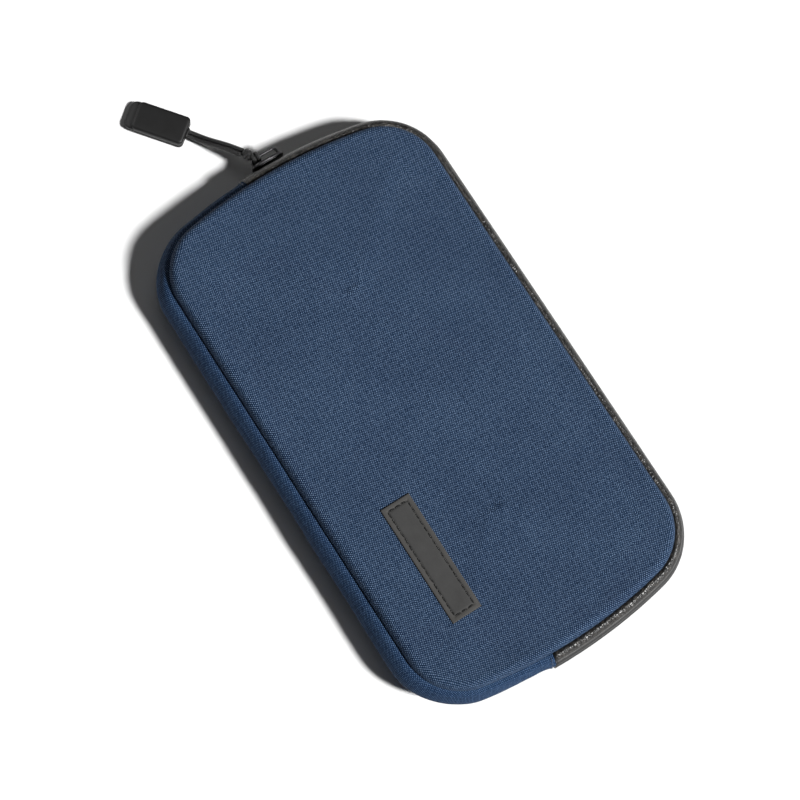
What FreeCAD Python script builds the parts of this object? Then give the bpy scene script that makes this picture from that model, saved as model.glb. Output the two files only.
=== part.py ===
import FreeCAD, Part
import math
import os
import re
import Sketcher

# Travel document organizer: a flat padded case that lies on its back panel.
# +X points to the zipped long side, -X to the folded spine, +Y to the end where
# the zip slider parks, +Z up through the cover. The origin is the middle of the
# underside. All sizes are millimetres.

Vector = FreeCAD.Vector

SIZES = [
    ("seam_half_width", 62.3, "half width of the panels at their seam"),
    ("seam_half_length", 114.2, "half length of the panels at their seam, on the centre line"),
    ("corner_radius", 24.2, "corner radius of the seam line"),
    ("bow_radius", 225.0, "radius of the outward bow of the two short sides"),
    ("case_thickness", 25.0, "overall thickness of the closed case"),
    ("mid_height", 12.5, "height of the zip line above the underside"),
    ("seam_rise", 9.5, "distance of each panel seam above or below the zip line"),
    ("band_radius", 10.7, "radius of the outward bulge of the side bands"),
    ("band_thickness", 1.0, "thickness of gusset, trim and zip tape"),
    ("panel_depth", 3.0, "depth of each outer panel, its turned-down rim included"),
    ("panel_skin", 1.2, "thickness of the outer fabric panel"),
    ("panel_rounding", 2.6, "rounding along the rim of each outer panel"),
    ("foam_thickness", 1.5, "padding behind each panel"),
    ("lining_thickness", 0.6, "lining sheet"),
    ("fold_offset", 12.0, "distance of the cover's fold line from the centre line"),
    ("fold_gap", 0.4, "gap between the two sides of the fold line"),
    ("trim_edge_rise", 5.3, "height of the trim's outer edge from the zip line"),
    ("zip_half_gap", 0.6, "half of the gap between the two zip tapes"),
    ("coil_width", 2.4, "height of one row of zip coils"),
    ("coil_depth", 1.4, "depth of one row of zip coils"),
    ("end_tab_length", 5.5, "length of the fabric tab over each end of the zip"),
    ("end_tab_thickness", 0.9, "thickness of that tab"),
    ("binding_width", 1.2, "height of the binding tape over the inner seam"),
    ("binding_inset", 0.6, "distance of the binding tape inside the seam line"),
    ("binding_thickness", 0.8, "thickness of the binding tape"),
    ("pocket_sheet", 0.7, "thickness of a flat sewn pocket"),
    ("pocket_corner", 3.0, "rounding of a pocket's corners"),
    ("pocket_middle", -2.0, "X of the middle of the pockets on the back"),
    ("sleeve_width", 100.0, "width of the document sleeve"),
    ("sleeve_length", 150.0, "depth of the document sleeve"),
    ("passport_width", 94.0, "width of the passport pocket"),
    ("passport_length", 116.0, "depth of the passport pocket"),
    ("card_width", 88.0, "width of the card pockets"),
    ("card_length", 44.0, "depth of the frontmost card pocket"),
    ("card_step", 12.0, "how far each card pocket stands above the one before it"),
    ("pocket_foot", -98.0, "Y of the closed end of the document sleeve"),
    ("pen_loop_radius", 5.2, "outer radius of the elastic pen loop"),
    ("pen_loop_wall", 0.6, "thickness of the elastic"),
    ("pen_loop_length", 24.0, "length of the pen loop"),
    ("pen_loop_x", -55.0, "X of the pen loop's axis"),
    ("pen_loop_y", 72.0, "Y of the pen loop's middle"),
    ("mesh_width", 56.0, "width of the mesh pocket inside the cover"),
    ("mesh_length", 160.0, "length of the mesh pocket"),
    ("mesh_x", 22.0, "X of the mesh pocket's middle"),
    ("mesh_hem_width", 4.0, "width of the elastic hem at its open edge"),
    ("mesh_hem_thickness", 0.5, "thickness of that hem"),
    ("label_width", 13.6, "width of the sewn label"),
    ("label_length", 53.4, "length of the sewn label"),
    ("label_thickness", 0.8, "thickness of the sewn label"),
    ("label_x", -33.2, "X of the label's middle"),
    ("label_y", -56.8, "Y of the label's middle"),
    ("slider_x", 2.5, "X of the slider's middle where it parks"),
    ("slider_length", 15.0, "length of the zip slider"),
    ("slider_width", 9.0, "height of the zip slider's plates"),
    ("slider_plate", 1.2, "thickness of each slider plate"),
    ("slider_clearance", 0.8, "space between the outer plate and the tape"),
    ("slider_inner_clearance", 1.4, "space between the inner plate and the coils"),
    ("slider_corner", 2.0, "rounding of the plates' corners"),
    ("post_length", 4.0, "length of the post that joins the two plates"),
    ("post_thickness", 0.5, "thickness of that post, between the tapes"),
    ("bail_wire", 1.2, "thickness of the slider's bail"),
    ("bail_reach", 3.5, "how far the bail's bar stands off the outer plate"),
    ("bail_span", 12.0, "distance between the bail's legs"),
    ("bail_corner", 1.5, "radius of the bail's bends"),
    ("stop_length", 1.6, "length of a zip stop"),
    ("stop_depth", 1.2, "depth of a zip stop"),
    ("stop_height", 2.2, "height of a zip stop"),
    ("knot_x", -1.0, "X of the knot's ring on the bail"),
    ("knot_ring_radius", 1.75, "radius of the ring of cord round the bail's bar"),
    ("knot_radius", 2.1, "radius of the knot itself"),
    ("knot_step_x", -2.0, "X from the ring to the knot"),
    ("knot_step_y", 3.0, "Y from the ring to the knot"),
    ("cord_diameter", 1.9, "one strand of the pull cord"),
    ("strand_spacing", 2.0, "distance between the two strands' centres"),
    ("tab_width", 13.0, "width of the moulded pull tab"),
    ("tab_length", 26.5, "length of the moulded pull tab"),
    ("tab_thickness", 5.5, "thickness of the moulded pull tab"),
    ("tab_corner", 2.4, "rounding of the tab's corners"),
    ("tab_edge", 0.8, "rounding of the tab's upper edges"),
    ("tab_lip_length", 3.5, "length of the thin lip at the tab's far end"),
    ("tab_lip_depth", 2.2, "how far the lip lies below the tab's top"),
    ("tab_slot_width", 4.3, "width of the slot that holds the cord"),
    ("tab_slot_height", 2.3, "height of that slot"),
    ("tab_slot_depth", 6.0, "depth of that slot"),
]

doc = FreeCAD.newDocument("travel_document_organizer")
sheet = doc.addObject("Spreadsheet::Sheet", "Sizes")
for row, (alias, value, note) in enumerate(SIZES, start=1):
    sheet.set("A%d" % row, note)
    sheet.set("B%d" % row, str(value))
    sheet.setAlias("B%d" % row, alias)
doc.recompute()

value_of = {alias: value for alias, value, note in SIZES}
sub_parts = []


def number(expression):
    """The value of an expression of sheet aliases, for first positions in a sketch."""
    probe = doc.getObject("Probe") or doc.addObject("App::FeaturePython", "Probe")
    if not hasattr(probe, "result"):
        probe.addProperty("App::PropertyFloat", "result")
    probe.setExpression("result", with_sheet(expression))
    doc.recompute([probe])
    return probe.result


def with_sheet(expression):
    """Put the sheet's name before each alias of an expression."""
    def named(match):
        word = match.group()
        return "Sizes." + word if word in value_of else word
    return re.sub(r"[a-z_]+", named, expression)


def bind(target, prop, expression):
    target.setExpression(prop, with_sheet(expression))


def new_body(name):
    body = doc.addObject("PartDesign::Body", name)
    body.Label = name
    sub_parts.append(body)
    return body


def origin_plane(body, role):
    return [item for item in body.Origin.OriginFeatures if item.Role == role][0]


def new_sketch(body, role="XY_Plane", offset="0"):
    """A sketch on one of the body's origin planes, moved along the plane's normal."""
    sketch = body.newObject("Sketcher::SketchObject", body.Name + "_sketch")
    sketch.AttachmentSupport = [(origin_plane(body, role), "")]
    sketch.MapMode = "FlatFace"
    bind(sketch, "AttachmentOffset.Base.z", offset)
    return sketch


def fix(sketch, name, expression, *constraint):
    """Add one dimension to a sketch, named and driven by the sheet."""
    index = sketch.addConstraint(Sketcher.Constraint(*constraint, number(expression)))
    sketch.renameConstraint(index, name)
    bind(sketch, "Constraints." + name, expression)


def arc(centre, radius, start, end):
    circle = Part.Circle(centre, Vector(0, 0, 1), radius)
    return Part.ArcOfCircle(circle, start, end)


def link_tangent(sketch, first, second):
    sketch.addConstraint(Sketcher.Constraint("Tangent", first, 2, second, 1))


# The seam line: straight long sides, rounded corners and bowed short sides.

CORNER_X = "(seam_half_width - corner_radius)"
BOW_CENTRE = "(bow_radius - seam_half_length)"


def seam_frame(inset):
    """Numbers of the seam line, moved inwards: the parallel line keeps every arc centre."""
    shift = number(inset)
    corner_x = number(CORNER_X)
    bow_y = -number(BOW_CENTRE)
    reach = value_of["bow_radius"] - value_of["corner_radius"]
    corner_y = bow_y + math.sqrt(reach ** 2 - corner_x ** 2)
    corner = value_of["corner_radius"] - shift
    bow = value_of["bow_radius"] - shift
    turn = math.atan2(corner_x, corner_y - bow_y)
    return corner_x, corner_y, bow_y, corner, bow, turn


def fix_bow(sketch, curve, name, lower):
    """Hold a bowed short side: its centre is on the Y axis, beyond the other short side."""
    sketch.addConstraint(Sketcher.Constraint("PointOnObject", curve, 3, -2))
    ends = (-1, 1, curve, 3) if lower else (curve, 3, -1, 1)
    fix(sketch, name, BOW_CENTRE, "DistanceY", *ends)


def closed_outline(sketch, inset="0"):
    """The whole seam line, moved inwards by an inset."""
    corner_x, corner_y, bow_y, corner, bow, turn = seam_frame(inset)
    side = corner_x + corner
    right, up, left, down = 0, math.pi / 2, math.pi, -math.pi / 2
    curves = [
        Part.LineSegment(Vector(side, -corner_y, 0), Vector(side, corner_y, 0)),
        arc(Vector(corner_x, corner_y, 0), corner, right, up - turn),
        arc(Vector(0, bow_y, 0), bow, up - turn, up + turn),
        arc(Vector(-corner_x, corner_y, 0), corner, up + turn, left),
        Part.LineSegment(Vector(-side, corner_y, 0), Vector(-side, -corner_y, 0)),
        arc(Vector(-corner_x, -corner_y, 0), corner, left, left + up - turn),
        arc(Vector(0, -bow_y, 0), bow, down - turn, down + turn),
        arc(Vector(corner_x, -corner_y, 0), corner, down + turn, right),
    ]
    for curve in curves:
        sketch.addGeometry(curve, False)
    for index in range(8):
        link_tangent(sketch, index, (index + 1) % 8)
    for line in (0, 4):
        sketch.addConstraint(Sketcher.Constraint("Vertical", line))
    for other in (3, 5, 7):
        sketch.addConstraint(Sketcher.Constraint("Equal", 1, other))
    sketch.addConstraint(Sketcher.Constraint("Equal", 2, 6))
    fix(sketch, "corner", "corner_radius - %s" % inset, "Radius", 1)
    fix(sketch, "bow", "bow_radius - %s" % inset, "Radius", 2)
    fix(sketch, "right_side", "seam_half_width - %s" % inset, "DistanceX", -1, 1, 0, 1)
    fix(sketch, "left_side", "seam_half_width - %s" % inset, "DistanceX", 4, 1, -1, 1)
    fix_bow(sketch, 2, "top_centre", lower=False)
    fix_bow(sketch, 6, "bottom_centre", lower=True)


def rectangle(sketch, centre, width, length):
    """An upright rectangle given by sheet expressions for its centre and sides."""
    x0, y0 = [number(item) for item in centre]
    dx, dy = number(width) / 2, number(length) / 2
    corners = [(x0 - dx, y0 - dy), (x0 + dx, y0 - dy), (x0 + dx, y0 + dy), (x0 - dx, y0 + dy)]
    for (xa, ya), (xb, yb) in zip(corners, corners[1:] + corners[:1]):
        sketch.addGeometry(Part.LineSegment(Vector(xa, ya, 0), Vector(xb, yb, 0)), False)
    for index in range(4):
        nxt = (index + 1) % 4
        sketch.addConstraint(Sketcher.Constraint("Coincident", index, 2, nxt, 1))
        direction = "Vertical" if index % 2 else "Horizontal"
        sketch.addConstraint(Sketcher.Constraint(direction, index))
    fix(sketch, "width", width, "DistanceX", 0, 1, 0, 2)
    fix(sketch, "length", length, "DistanceY", 1, 1, 1, 2)
    fix(sketch, "from_left", "%s - %s / 2" % (centre[0], width), "DistanceX", -1, 1, 0, 1)
    fix(sketch, "from_below", "%s - %s / 2" % (centre[1], length), "DistanceY", -1, 1, 0, 1)


def add_pad(body, sketch, length):
    pad = body.newObject("PartDesign::Pad", body.Name + "_pad")
    pad.Profile = sketch
    bind(pad, "Length", length)
    sketch.Visibility = False
    doc.recompute()
    return pad


def add_pocket(body, sketch, depth, upwards=False):
    """Cut a pocket and make sure that it takes material away."""
    before = body.Shape.Volume
    pocket = body.newObject("PartDesign::Pocket", body.Name + "_pocket")
    pocket.Profile = sketch
    bind(pocket, "Length", depth)
    pocket.Reversed = upwards
    doc.recompute()
    if body.Shape.Volume > before - 0.01:
        raise RuntimeError("pocket cuts nothing in " + body.Label)
    return pocket


def round_edges(body, base, wanted, radius):
    """Round the edges of the last feature for which wanted(edge) is true."""
    names = ["Edge%d" % i for i, edge in enumerate(base.Shape.Edges, start=1) if wanted(edge)]
    if not names:
        raise RuntimeError("no edge to round in " + body.Label)
    fillet = body.newObject("PartDesign::Fillet", body.Name + "_fillet")
    fillet.Base = (base, names)
    bind(fillet, "Radius", radius)
    doc.recompute()
    return fillet


def level_edge(height):
    """A test for edges that lie at one height."""
    return lambda edge: all(abs(vertex.Z - height) < 1e-4 for vertex in edge.Vertexes)


def upright_edge(edge):
    box = edge.BoundBox
    return box.ZLength > 1e-4 and box.XLength < 1e-4 and box.YLength < 1e-4


# Flat layers: outer panels, padding and lining. The front ones are sewn as one
# sheet that folds along a line between the two ends of the zip, so each is made
# in two parts, one each side of that fold.

def keep_side(body, side):
    """Cut a layer at the fold line and keep its spine side or its cover side."""
    if side == "both":
        return
    sketch = new_sketch(body, "XY_Plane", "0")
    reach = "(2 * seam_half_width)"
    if side == "spine":
        centre = "(fold_gap / -2 - fold_offset + %s / 2)" % reach
    else:
        centre = "(fold_gap / 2 - fold_offset - %s / 2)" % reach
    rectangle(sketch, (centre, "0"), reach, "(3 * seam_half_length)")
    add_pocket(body, sketch, "2 * case_thickness", upwards=True)


def flat_layer(name, base_height, thickness, inset, side="both"):
    body = new_body(name)
    sketch = new_sketch(body, "XY_Plane", base_height)
    closed_outline(sketch, inset)
    add_pad(body, sketch, thickness)
    keep_side(body, side)
    return body


def outer_panel(name, faces_up, side="both"):
    """A fabric panel with a turned rim, like a shallow tray."""
    base = "case_thickness - panel_depth" if faces_up else "0"
    body = new_body(name)
    sketch = new_sketch(body, "XY_Plane", base)
    closed_outline(sketch)
    pad = add_pad(body, sketch, "panel_depth")
    rim_height = number("case_thickness") if faces_up else 0
    round_edges(body, pad, level_edge(rim_height), "panel_rounding")
    hollow_base = base if faces_up else "panel_skin"
    hollow = new_sketch(body, "XY_Plane", hollow_base)
    closed_outline(hollow, "panel_skin")
    add_pocket(body, hollow, "panel_depth - panel_skin", upwards=True)
    keep_side(body, side)
    return body


def make_back():
    outer_panel("back_panel", faces_up=False)
    flat_layer("back_foam", "panel_skin", "foam_thickness", "(panel_skin + 0.2)")
    flat_layer("back_lining", "(panel_skin + foam_thickness)", "lining_thickness", "1.6")


def make_front(prefix, side):
    """The cover's panel, padding and lining on one side of the fold line."""
    foam_base = "(case_thickness - panel_skin - foam_thickness)"
    lining_base = "(%s - lining_thickness)" % foam_base
    outer_panel(prefix + "_panel", faces_up=True, side=side)
    flat_layer(prefix + "_foam", foam_base, "foam_thickness", "(panel_skin + 0.2)", side)
    flat_layer(prefix + "_lining", lining_base, "lining_thickness", "1.6", side)


# Side bands: swept along the seam line, from one end of the zip to the other,
# round the spine side or round the zip side.

BAND_CENTRE = "sqrt(band_radius ^ 2 - seam_rise ^ 2)"


def side_path(body, side, end_x):
    """The seam line round one side, as an open path that ends at x = end_x."""
    sketch = new_sketch(body, "XY_Plane", "mid_height")
    corner_x, corner_y, bow_y, corner, bow, turn = seam_frame("0")
    start = math.asin(number(end_x) / bow)
    up, down = math.pi / 2, -math.pi / 2
    edge = side * (corner_x + corner)
    inner = side * corner_x
    if side > 0:
        curves = [
            arc(Vector(0, -bow_y, 0), bow, down + start, down + turn),
            arc(Vector(inner, -corner_y, 0), corner, down + turn, 0),
            Part.LineSegment(Vector(edge, -corner_y, 0), Vector(edge, corner_y, 0)),
            arc(Vector(inner, corner_y, 0), corner, 0, up - turn),
            arc(Vector(0, bow_y, 0), bow, up - turn, up - start),
        ]
    else:
        curves = [
            arc(Vector(0, bow_y, 0), bow, up - start, up + turn),
            arc(Vector(inner, corner_y, 0), corner, up + turn, math.pi),
            Part.LineSegment(Vector(edge, corner_y, 0), Vector(edge, -corner_y, 0)),
            arc(Vector(inner, -corner_y, 0), corner, math.pi, 3 * up - turn),
            arc(Vector(0, -bow_y, 0), bow, 3 * up - turn, 3 * up + start),
        ]
    for curve in curves:
        sketch.addGeometry(curve, False)
    for index in range(4):
        link_tangent(sketch, index, index + 1)
    sketch.addConstraint(Sketcher.Constraint("Vertical", 2))
    sketch.addConstraint(Sketcher.Constraint("Equal", 1, 3))
    sketch.addConstraint(Sketcher.Constraint("Equal", 0, 4))
    fix(sketch, "corner", "corner_radius", "Radius", 1)
    fix(sketch, "bow", "bow_radius", "Radius", 0)
    side_ends = (-1, 1, 2, 1) if side > 0 else (2, 1, -1, 1)
    fix(sketch, "side", "seam_half_width", "DistanceX", *side_ends)
    fix_bow(sketch, 0, "first_centre", lower=side > 0)
    fix_bow(sketch, 4, "last_centre", lower=side < 0)
    fix(sketch, "start_x", end_x, "DistanceX", -1, 1, 0, 1)
    fix(sketch, "finish_x", end_x, "DistanceX", -1, 1, 4, 2)
    return sketch


def strip_profile(body, end_x, towards, inner, outer, low, high):
    """The section of a curved band between two radii and two heights off the zip line.

    Its plane passes through the centre of the bowed short side, so it is square to
    the seam line. towards is +1 at the +Y end and -1 at the -Y end. low and high
    are pairs of a sign and the sheet expression of a height.
    """
    sketch = new_sketch(body, "YZ_Plane", "0")
    sketch.AttachmentOffset = FreeCAD.Placement(Vector(), FreeCAD.Rotation(Vector(0, 1, 0), 1))
    bind(sketch, "AttachmentOffset.Base.x", "%d * %s" % (-towards, BOW_CENTRE))
    bind(sketch, "AttachmentOffset.Rotation.Angle",
         "%d * asin(%s / bow_radius)" % (-towards, end_x))
    from_bow = "(bow_radius - %s)" % BAND_CENTRE
    centre = Vector(towards * number(from_bow), number("mid_height"), 0)
    r_in, r_out = number(inner), number(outer)
    angles = [math.asin(sign * number(rise) / r_out) for sign, rise in (low, high)]
    if towards < 0:
        angles = [math.pi - angles[1], math.pi - angles[0]]
    points = {}
    for key, radius, angle in (("a", r_out, angles[1]), ("b", r_in, angles[1]),
                               ("c", r_in, angles[0]), ("d", r_out, angles[0])):
        points[key] = centre + Vector(radius * math.cos(angle), radius * math.sin(angle), 0)
    sketch.addGeometry(arc(centre, r_out, *angles), False)
    sketch.addGeometry(Part.LineSegment(points["a"], points["b"]), False)
    sketch.addGeometry(arc(centre, r_in, *angles), False)
    sketch.addGeometry(Part.LineSegment(points["c"], points["d"]), False)
    joins = [(0, 2, 1, 1), (1, 2, 2, 2), (2, 1, 3, 1), (3, 2, 0, 1), (0, 3, 2, 3)]
    for join in joins:
        sketch.addConstraint(Sketcher.Constraint("Coincident", *join))
    for line in (1, 3):
        sketch.addConstraint(Sketcher.Constraint("PointOnObject", 0, 3, line))
    fix(sketch, "outer", outer, "Radius", 0)
    fix(sketch, "inner", inner, "Radius", 2)
    fix(sketch, "height", "mid_height", "DistanceY", -1, 1, 0, 3)
    sides = (-1, 1, 0, 3) if towards > 0 else (0, 3, -1, 1)
    fix(sketch, "across", from_bow, "DistanceX", *sides)
    at_low, at_high = (1, 2) if towards > 0 else (2, 1)
    for name, (sign, rise), end in (("low", low, at_low), ("high", high, at_high)):
        ends = (0, 3, 0, end) if sign > 0 else (0, end, 0, 3)
        fix(sketch, name, rise, "DistanceY", *ends)
    return sketch


def add_pipe(body, profile, path):
    pipe = body.newObject("PartDesign::AdditivePipe", body.Name + "_pipe")
    pipe.Profile = profile
    pipe.Spine = (path, [""])
    doc.recompute()
    profile.Visibility = False
    path.Visibility = False
    return pipe


def curved_band(name, side, inner, outer, low, high, end_x):
    body = new_body(name)
    path = side_path(body, side, end_x)
    profile = strip_profile(body, end_x, -side, inner, outer, low, high)
    add_pipe(body, profile, path)
    return body


SPINE_END = "(fold_gap / -2 - fold_offset)"
ZIP_END = "(fold_gap / 2 - fold_offset)"
COIL_END = "(2.5 - fold_offset)"
BAND_INNER = "(band_radius - band_thickness)"


def make_spine_gusset():
    curved_band("spine_gusset", -1, BAND_INNER, "band_radius",
                (-1, "seam_rise"), (1, "seam_rise"), SPINE_END)


def make_zip_half(prefix, sign):
    """Trim strip, zip tape and coil row on one side of the zip line."""
    seam, edge, gap = (sign, "seam_rise"), (sign, "trim_edge_rise"), (sign, "zip_half_gap")
    coil_top = (sign, "(zip_half_gap + coil_width)")
    coil_outer = "(%s - 0.1)" % BAND_INNER
    coil_inner = "(%s - coil_depth)" % coil_outer
    pieces = [
        ("_trim", BAND_INNER, "band_radius", edge, seam, ZIP_END),
        ("_zip_tape", BAND_INNER, "band_radius", gap, edge, ZIP_END),
        ("_zip_coil", coil_inner, coil_outer, gap, coil_top, COIL_END),
    ]
    for suffix, inner, outer, near, far, end_x in pieces:
        low, high = (near, far) if sign > 0 else (far, near)
        curved_band(prefix + suffix, 1, inner, outer, low, high, end_x)


def make_end_tab(name, towards):
    """The fabric tab sewn over one end of the zip, outside the gusset."""
    body = new_body(name)
    far_end = "(%s - end_tab_length)" % SPINE_END
    start_x, finish_x = (SPINE_END, far_end) if towards > 0 else (far_end, SPINE_END)
    path = new_sketch(body, "XY_Plane", "mid_height")
    bow_y = -towards * number(BOW_CENTRE)
    radius = number("bow_radius")
    middle = towards * math.pi / 2
    start, finish = [middle - towards * math.asin(number(x) / radius) for x in (start_x, finish_x)]
    path.addGeometry(arc(Vector(0, bow_y, 0), radius, start, finish), False)
    fix(path, "bow", "bow_radius", "Radius", 0)
    fix_bow(path, 0, "centre", lower=towards < 0)
    fix(path, "start_x", start_x, "DistanceX", -1, 1, 0, 1)
    fix(path, "finish_x", finish_x, "DistanceX", -1, 1, 0, 2)
    rise = "(seam_rise - 0.4)"
    profile = strip_profile(body, start_x, towards, "(band_radius + 0.05)",
                            "(band_radius + end_tab_thickness)", (-1, rise), (1, rise))
    add_pipe(body, profile, path)


# Inside the case: binding tape over the seams, and the pockets.

def binding(name, base_height, side="both"):
    body = new_body(name)
    outer = new_sketch(body, "XY_Plane", base_height)
    closed_outline(outer, "binding_inset")
    add_pad(body, outer, "binding_width")
    inner = new_sketch(body, "XY_Plane", base_height)
    closed_outline(inner, "(binding_inset + binding_thickness)")
    add_pocket(body, inner, "binding_width", upwards=True)
    keep_side(body, side)


def flat_piece(name, base_height, centre, width, length, thickness, corner):
    """A flat sewn piece with rounded corners."""
    body = new_body(name)
    sketch = new_sketch(body, "XY_Plane", base_height)
    rectangle(sketch, centre, width, length)
    pad = add_pad(body, sketch, thickness)
    round_edges(body, pad, upright_edge, corner)
    return body


BACK_FLOOR = "(panel_skin + foam_thickness + lining_thickness)"
COVER_CEILING = "(case_thickness - panel_skin - foam_thickness - lining_thickness)"


def back_pocket(name, layer, width, length):
    """A pocket on the back lining: each layer lies on the one below and starts a little above it."""
    base = "(%s + %d * pocket_sheet)" % (BACK_FLOOR, layer)
    middle_y = "(pocket_foot + %d * 2 + %s / 2)" % (min(layer, 2), length)
    flat_piece(name, base, ("pocket_middle", middle_y), width, length,
               "pocket_sheet", "pocket_corner")


def make_pockets():
    back_pocket("document_sleeve", 0, "sleeve_width", "sleeve_length")
    back_pocket("passport_pocket", 1, "passport_width", "passport_length")
    for step, name in enumerate(("card_pocket_rear", "card_pocket_middle", "card_pocket_front")):
        length = "(card_length + %d * card_step)" % (2 - step)
        back_pocket(name, 2 + step, "card_width", length)


def make_pen_loop():
    """An elastic tube along the spine that a pen slides into."""
    body = new_body("pen_loop")
    sketch = new_sketch(body, "XZ_Plane", "(0 - pen_loop_y - pen_loop_length / 2)")
    height = "(%s + pen_loop_radius + 0.05)" % BACK_FLOOR
    radii = ("pen_loop_radius", "(pen_loop_radius - pen_loop_wall)")
    centre = Vector(number("pen_loop_x"), number(height), 0)
    for index, (name, radius) in enumerate(zip(("outer", "inner"), radii)):
        sketch.addGeometry(Part.Circle(centre, Vector(0, 0, 1), number(radius)), False)
        fix(sketch, name, radius, "Radius", index)
    sketch.addConstraint(Sketcher.Constraint("Coincident", 0, 3, 1, 3))
    fix(sketch, "across", "(0 - pen_loop_x)", "DistanceX", 0, 3, -1, 1)
    fix(sketch, "height", height, "DistanceY", -1, 1, 0, 3)
    add_pad(body, sketch, "pen_loop_length")


def make_mesh_pocket():
    """A mesh pocket under the cover, open towards the spine, with an elastic hem."""
    base = "(%s - pocket_sheet)" % COVER_CEILING
    flat_piece("mesh_pocket", base, ("mesh_x", "0"), "mesh_width", "mesh_length",
               "pocket_sheet", "pocket_corner")
    hem_base = "(%s - mesh_hem_thickness)" % base
    hem_x = "(mesh_x - mesh_width / 2 + mesh_hem_width / 2)"
    flat_piece("mesh_pocket_hem", hem_base, (hem_x, "0"), "mesh_hem_width",
               "(mesh_length - 2 * pocket_corner)", "mesh_hem_thickness", "mesh_hem_width / 4")


def make_label():
    flat_piece("label", "case_thickness", ("label_x", "label_y"), "label_width",
               "label_length", "label_thickness", "label_thickness")


# The zip slider parks at the +Y end. Its two plates lie outside the tapes and
# inside the coils, and a thin post joins them through the gap between the tapes.

BULGE = "(band_radius - %s)" % BAND_CENTRE
OUTER_PLATE_Y = "(seam_half_length + %s + slider_clearance)" % BULGE
INNER_PLATE_Y = ("(seam_half_length + %s - band_thickness - 0.1 - coil_depth"
                 " - slider_inner_clearance)" % BULGE)
BAR_Y = "(%s + slider_plate + bail_reach)" % OUTER_PLATE_Y


def plan_block(body, centre, width, length, height):
    """A block drawn in plan, with its middle at the height of the zip line."""
    sketch = new_sketch(body, "XY_Plane", "(mid_height - %s / 2)" % height)
    rectangle(sketch, centre, width, length)
    return add_pad(body, sketch, height)


def plate_corner(edge):
    """The edges through a plate's thickness at its corners, the post's own edges left out."""
    box = edge.BoundBox
    off_post = abs(box.Center.z - number("mid_height")) > number("post_thickness")
    return box.XLength < 1e-4 and box.ZLength < 1e-4 and box.YLength > 1e-4 and off_post


def make_slider():
    body = new_body("slider_body")
    outer_y = "(%s + slider_plate / 2)" % OUTER_PLATE_Y
    inner_y = "(%s - slider_plate / 2)" % INNER_PLATE_Y
    post_x = "(slider_x - slider_length / 2 + post_length / 2 + 1)"
    post_y = "((%s + %s) / 2)" % (outer_y, inner_y)
    plan_block(body, ("slider_x", outer_y), "slider_length", "slider_plate", "slider_width")
    plan_block(body, (post_x, post_y), "post_length", "(%s - %s)" % (outer_y, inner_y),
               "post_thickness")
    last = plan_block(body, ("slider_x", inner_y), "slider_length", "slider_plate",
                      "slider_width")
    round_edges(body, last, plate_corner, "slider_corner")


def make_bail():
    """A bent wire loop on the outer plate that the pull cord is hitched to."""
    body = new_body("slider_bail")
    half, corner = "(bail_span / 2)", "bail_corner"
    path = new_sketch(body, "XY_Plane", "mid_height")
    x0, dx, r = number("slider_x"), number(half), number(corner)
    foot, bar = number("(%s + slider_plate)" % OUTER_PLATE_Y), number(BAR_Y)
    path.addGeometry(Part.LineSegment(Vector(x0 + dx, foot, 0), Vector(x0 + dx, bar - r, 0)))
    path.addGeometry(arc(Vector(x0 + dx - r, bar - r, 0), r, 0, math.pi / 2))
    path.addGeometry(Part.LineSegment(Vector(x0 + dx - r, bar, 0), Vector(x0 - dx + r, bar, 0)))
    path.addGeometry(arc(Vector(x0 - dx + r, bar - r, 0), r, math.pi / 2, math.pi))
    path.addGeometry(Part.LineSegment(Vector(x0 - dx, bar - r, 0), Vector(x0 - dx, foot, 0)))
    for index in range(4):
        link_tangent(path, index, index + 1)
    path.addConstraint(Sketcher.Constraint("Vertical", 0))
    path.addConstraint(Sketcher.Constraint("Vertical", 4))
    path.addConstraint(Sketcher.Constraint("Equal", 1, 3))
    fix(path, "corner", corner, "Radius", 1)
    fix(path, "right_leg", "(slider_x + %s)" % half, "DistanceX", -1, 1, 0, 1)
    fix(path, "left_leg", "(%s - slider_x)" % half, "DistanceX", 4, 1, -1, 1)
    fix(path, "foot", "(%s + slider_plate)" % OUTER_PLATE_Y, "DistanceY", -1, 1, 0, 1)
    fix(path, "other_foot", "(%s + slider_plate)" % OUTER_PLATE_Y, "DistanceY", -1, 1, 4, 2)
    fix(path, "bar_line", BAR_Y, "DistanceY", -1, 1, 2, 1)
    wire = new_sketch(body, "XZ_Plane", "(0 - %s - slider_plate)" % OUTER_PLATE_Y)
    centre = Vector(x0 + dx, number("mid_height"), 0)
    wire.addGeometry(Part.Circle(centre, Vector(0, 0, 1), number("bail_wire") / 2), False)
    fix(wire, "radius", "(bail_wire / 2)", "Radius", 0)
    fix(wire, "across", "(slider_x + %s)" % half, "DistanceX", -1, 1, 0, 3)
    fix(wire, "height", "mid_height", "DistanceY", -1, 1, 0, 3)
    add_pipe(body, wire, path)


def make_zip_stop(name, towards):
    """A small metal stop at one end of the back row of coils."""
    stop = doc.addObject("Part::Box", name)
    stop.Label = name
    bind(stop, "Length", "stop_length")
    bind(stop, "Width", "stop_depth")
    bind(stop, "Height", "stop_height")
    bind(stop, "Placement.Base.x", "(%s - stop_length - 0.4)" % COIL_END)
    inner_y = "(%s + slider_inner_clearance - 0.4)" % INNER_PLATE_Y
    if towards > 0:
        bind(stop, "Placement.Base.y", inner_y)
    else:
        bind(stop, "Placement.Base.y", "(0 - %s - stop_depth)" % inner_y)
    bind(stop, "Placement.Base.z", "(mid_height - zip_half_gap - stop_height - 0.1)")
    sub_parts.append(stop)


# The pull: a knot hitched on the bail, a doubled cord and a moulded tab. The
# knot turns about the bail's bar, and the cord swings about the knot.

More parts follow.
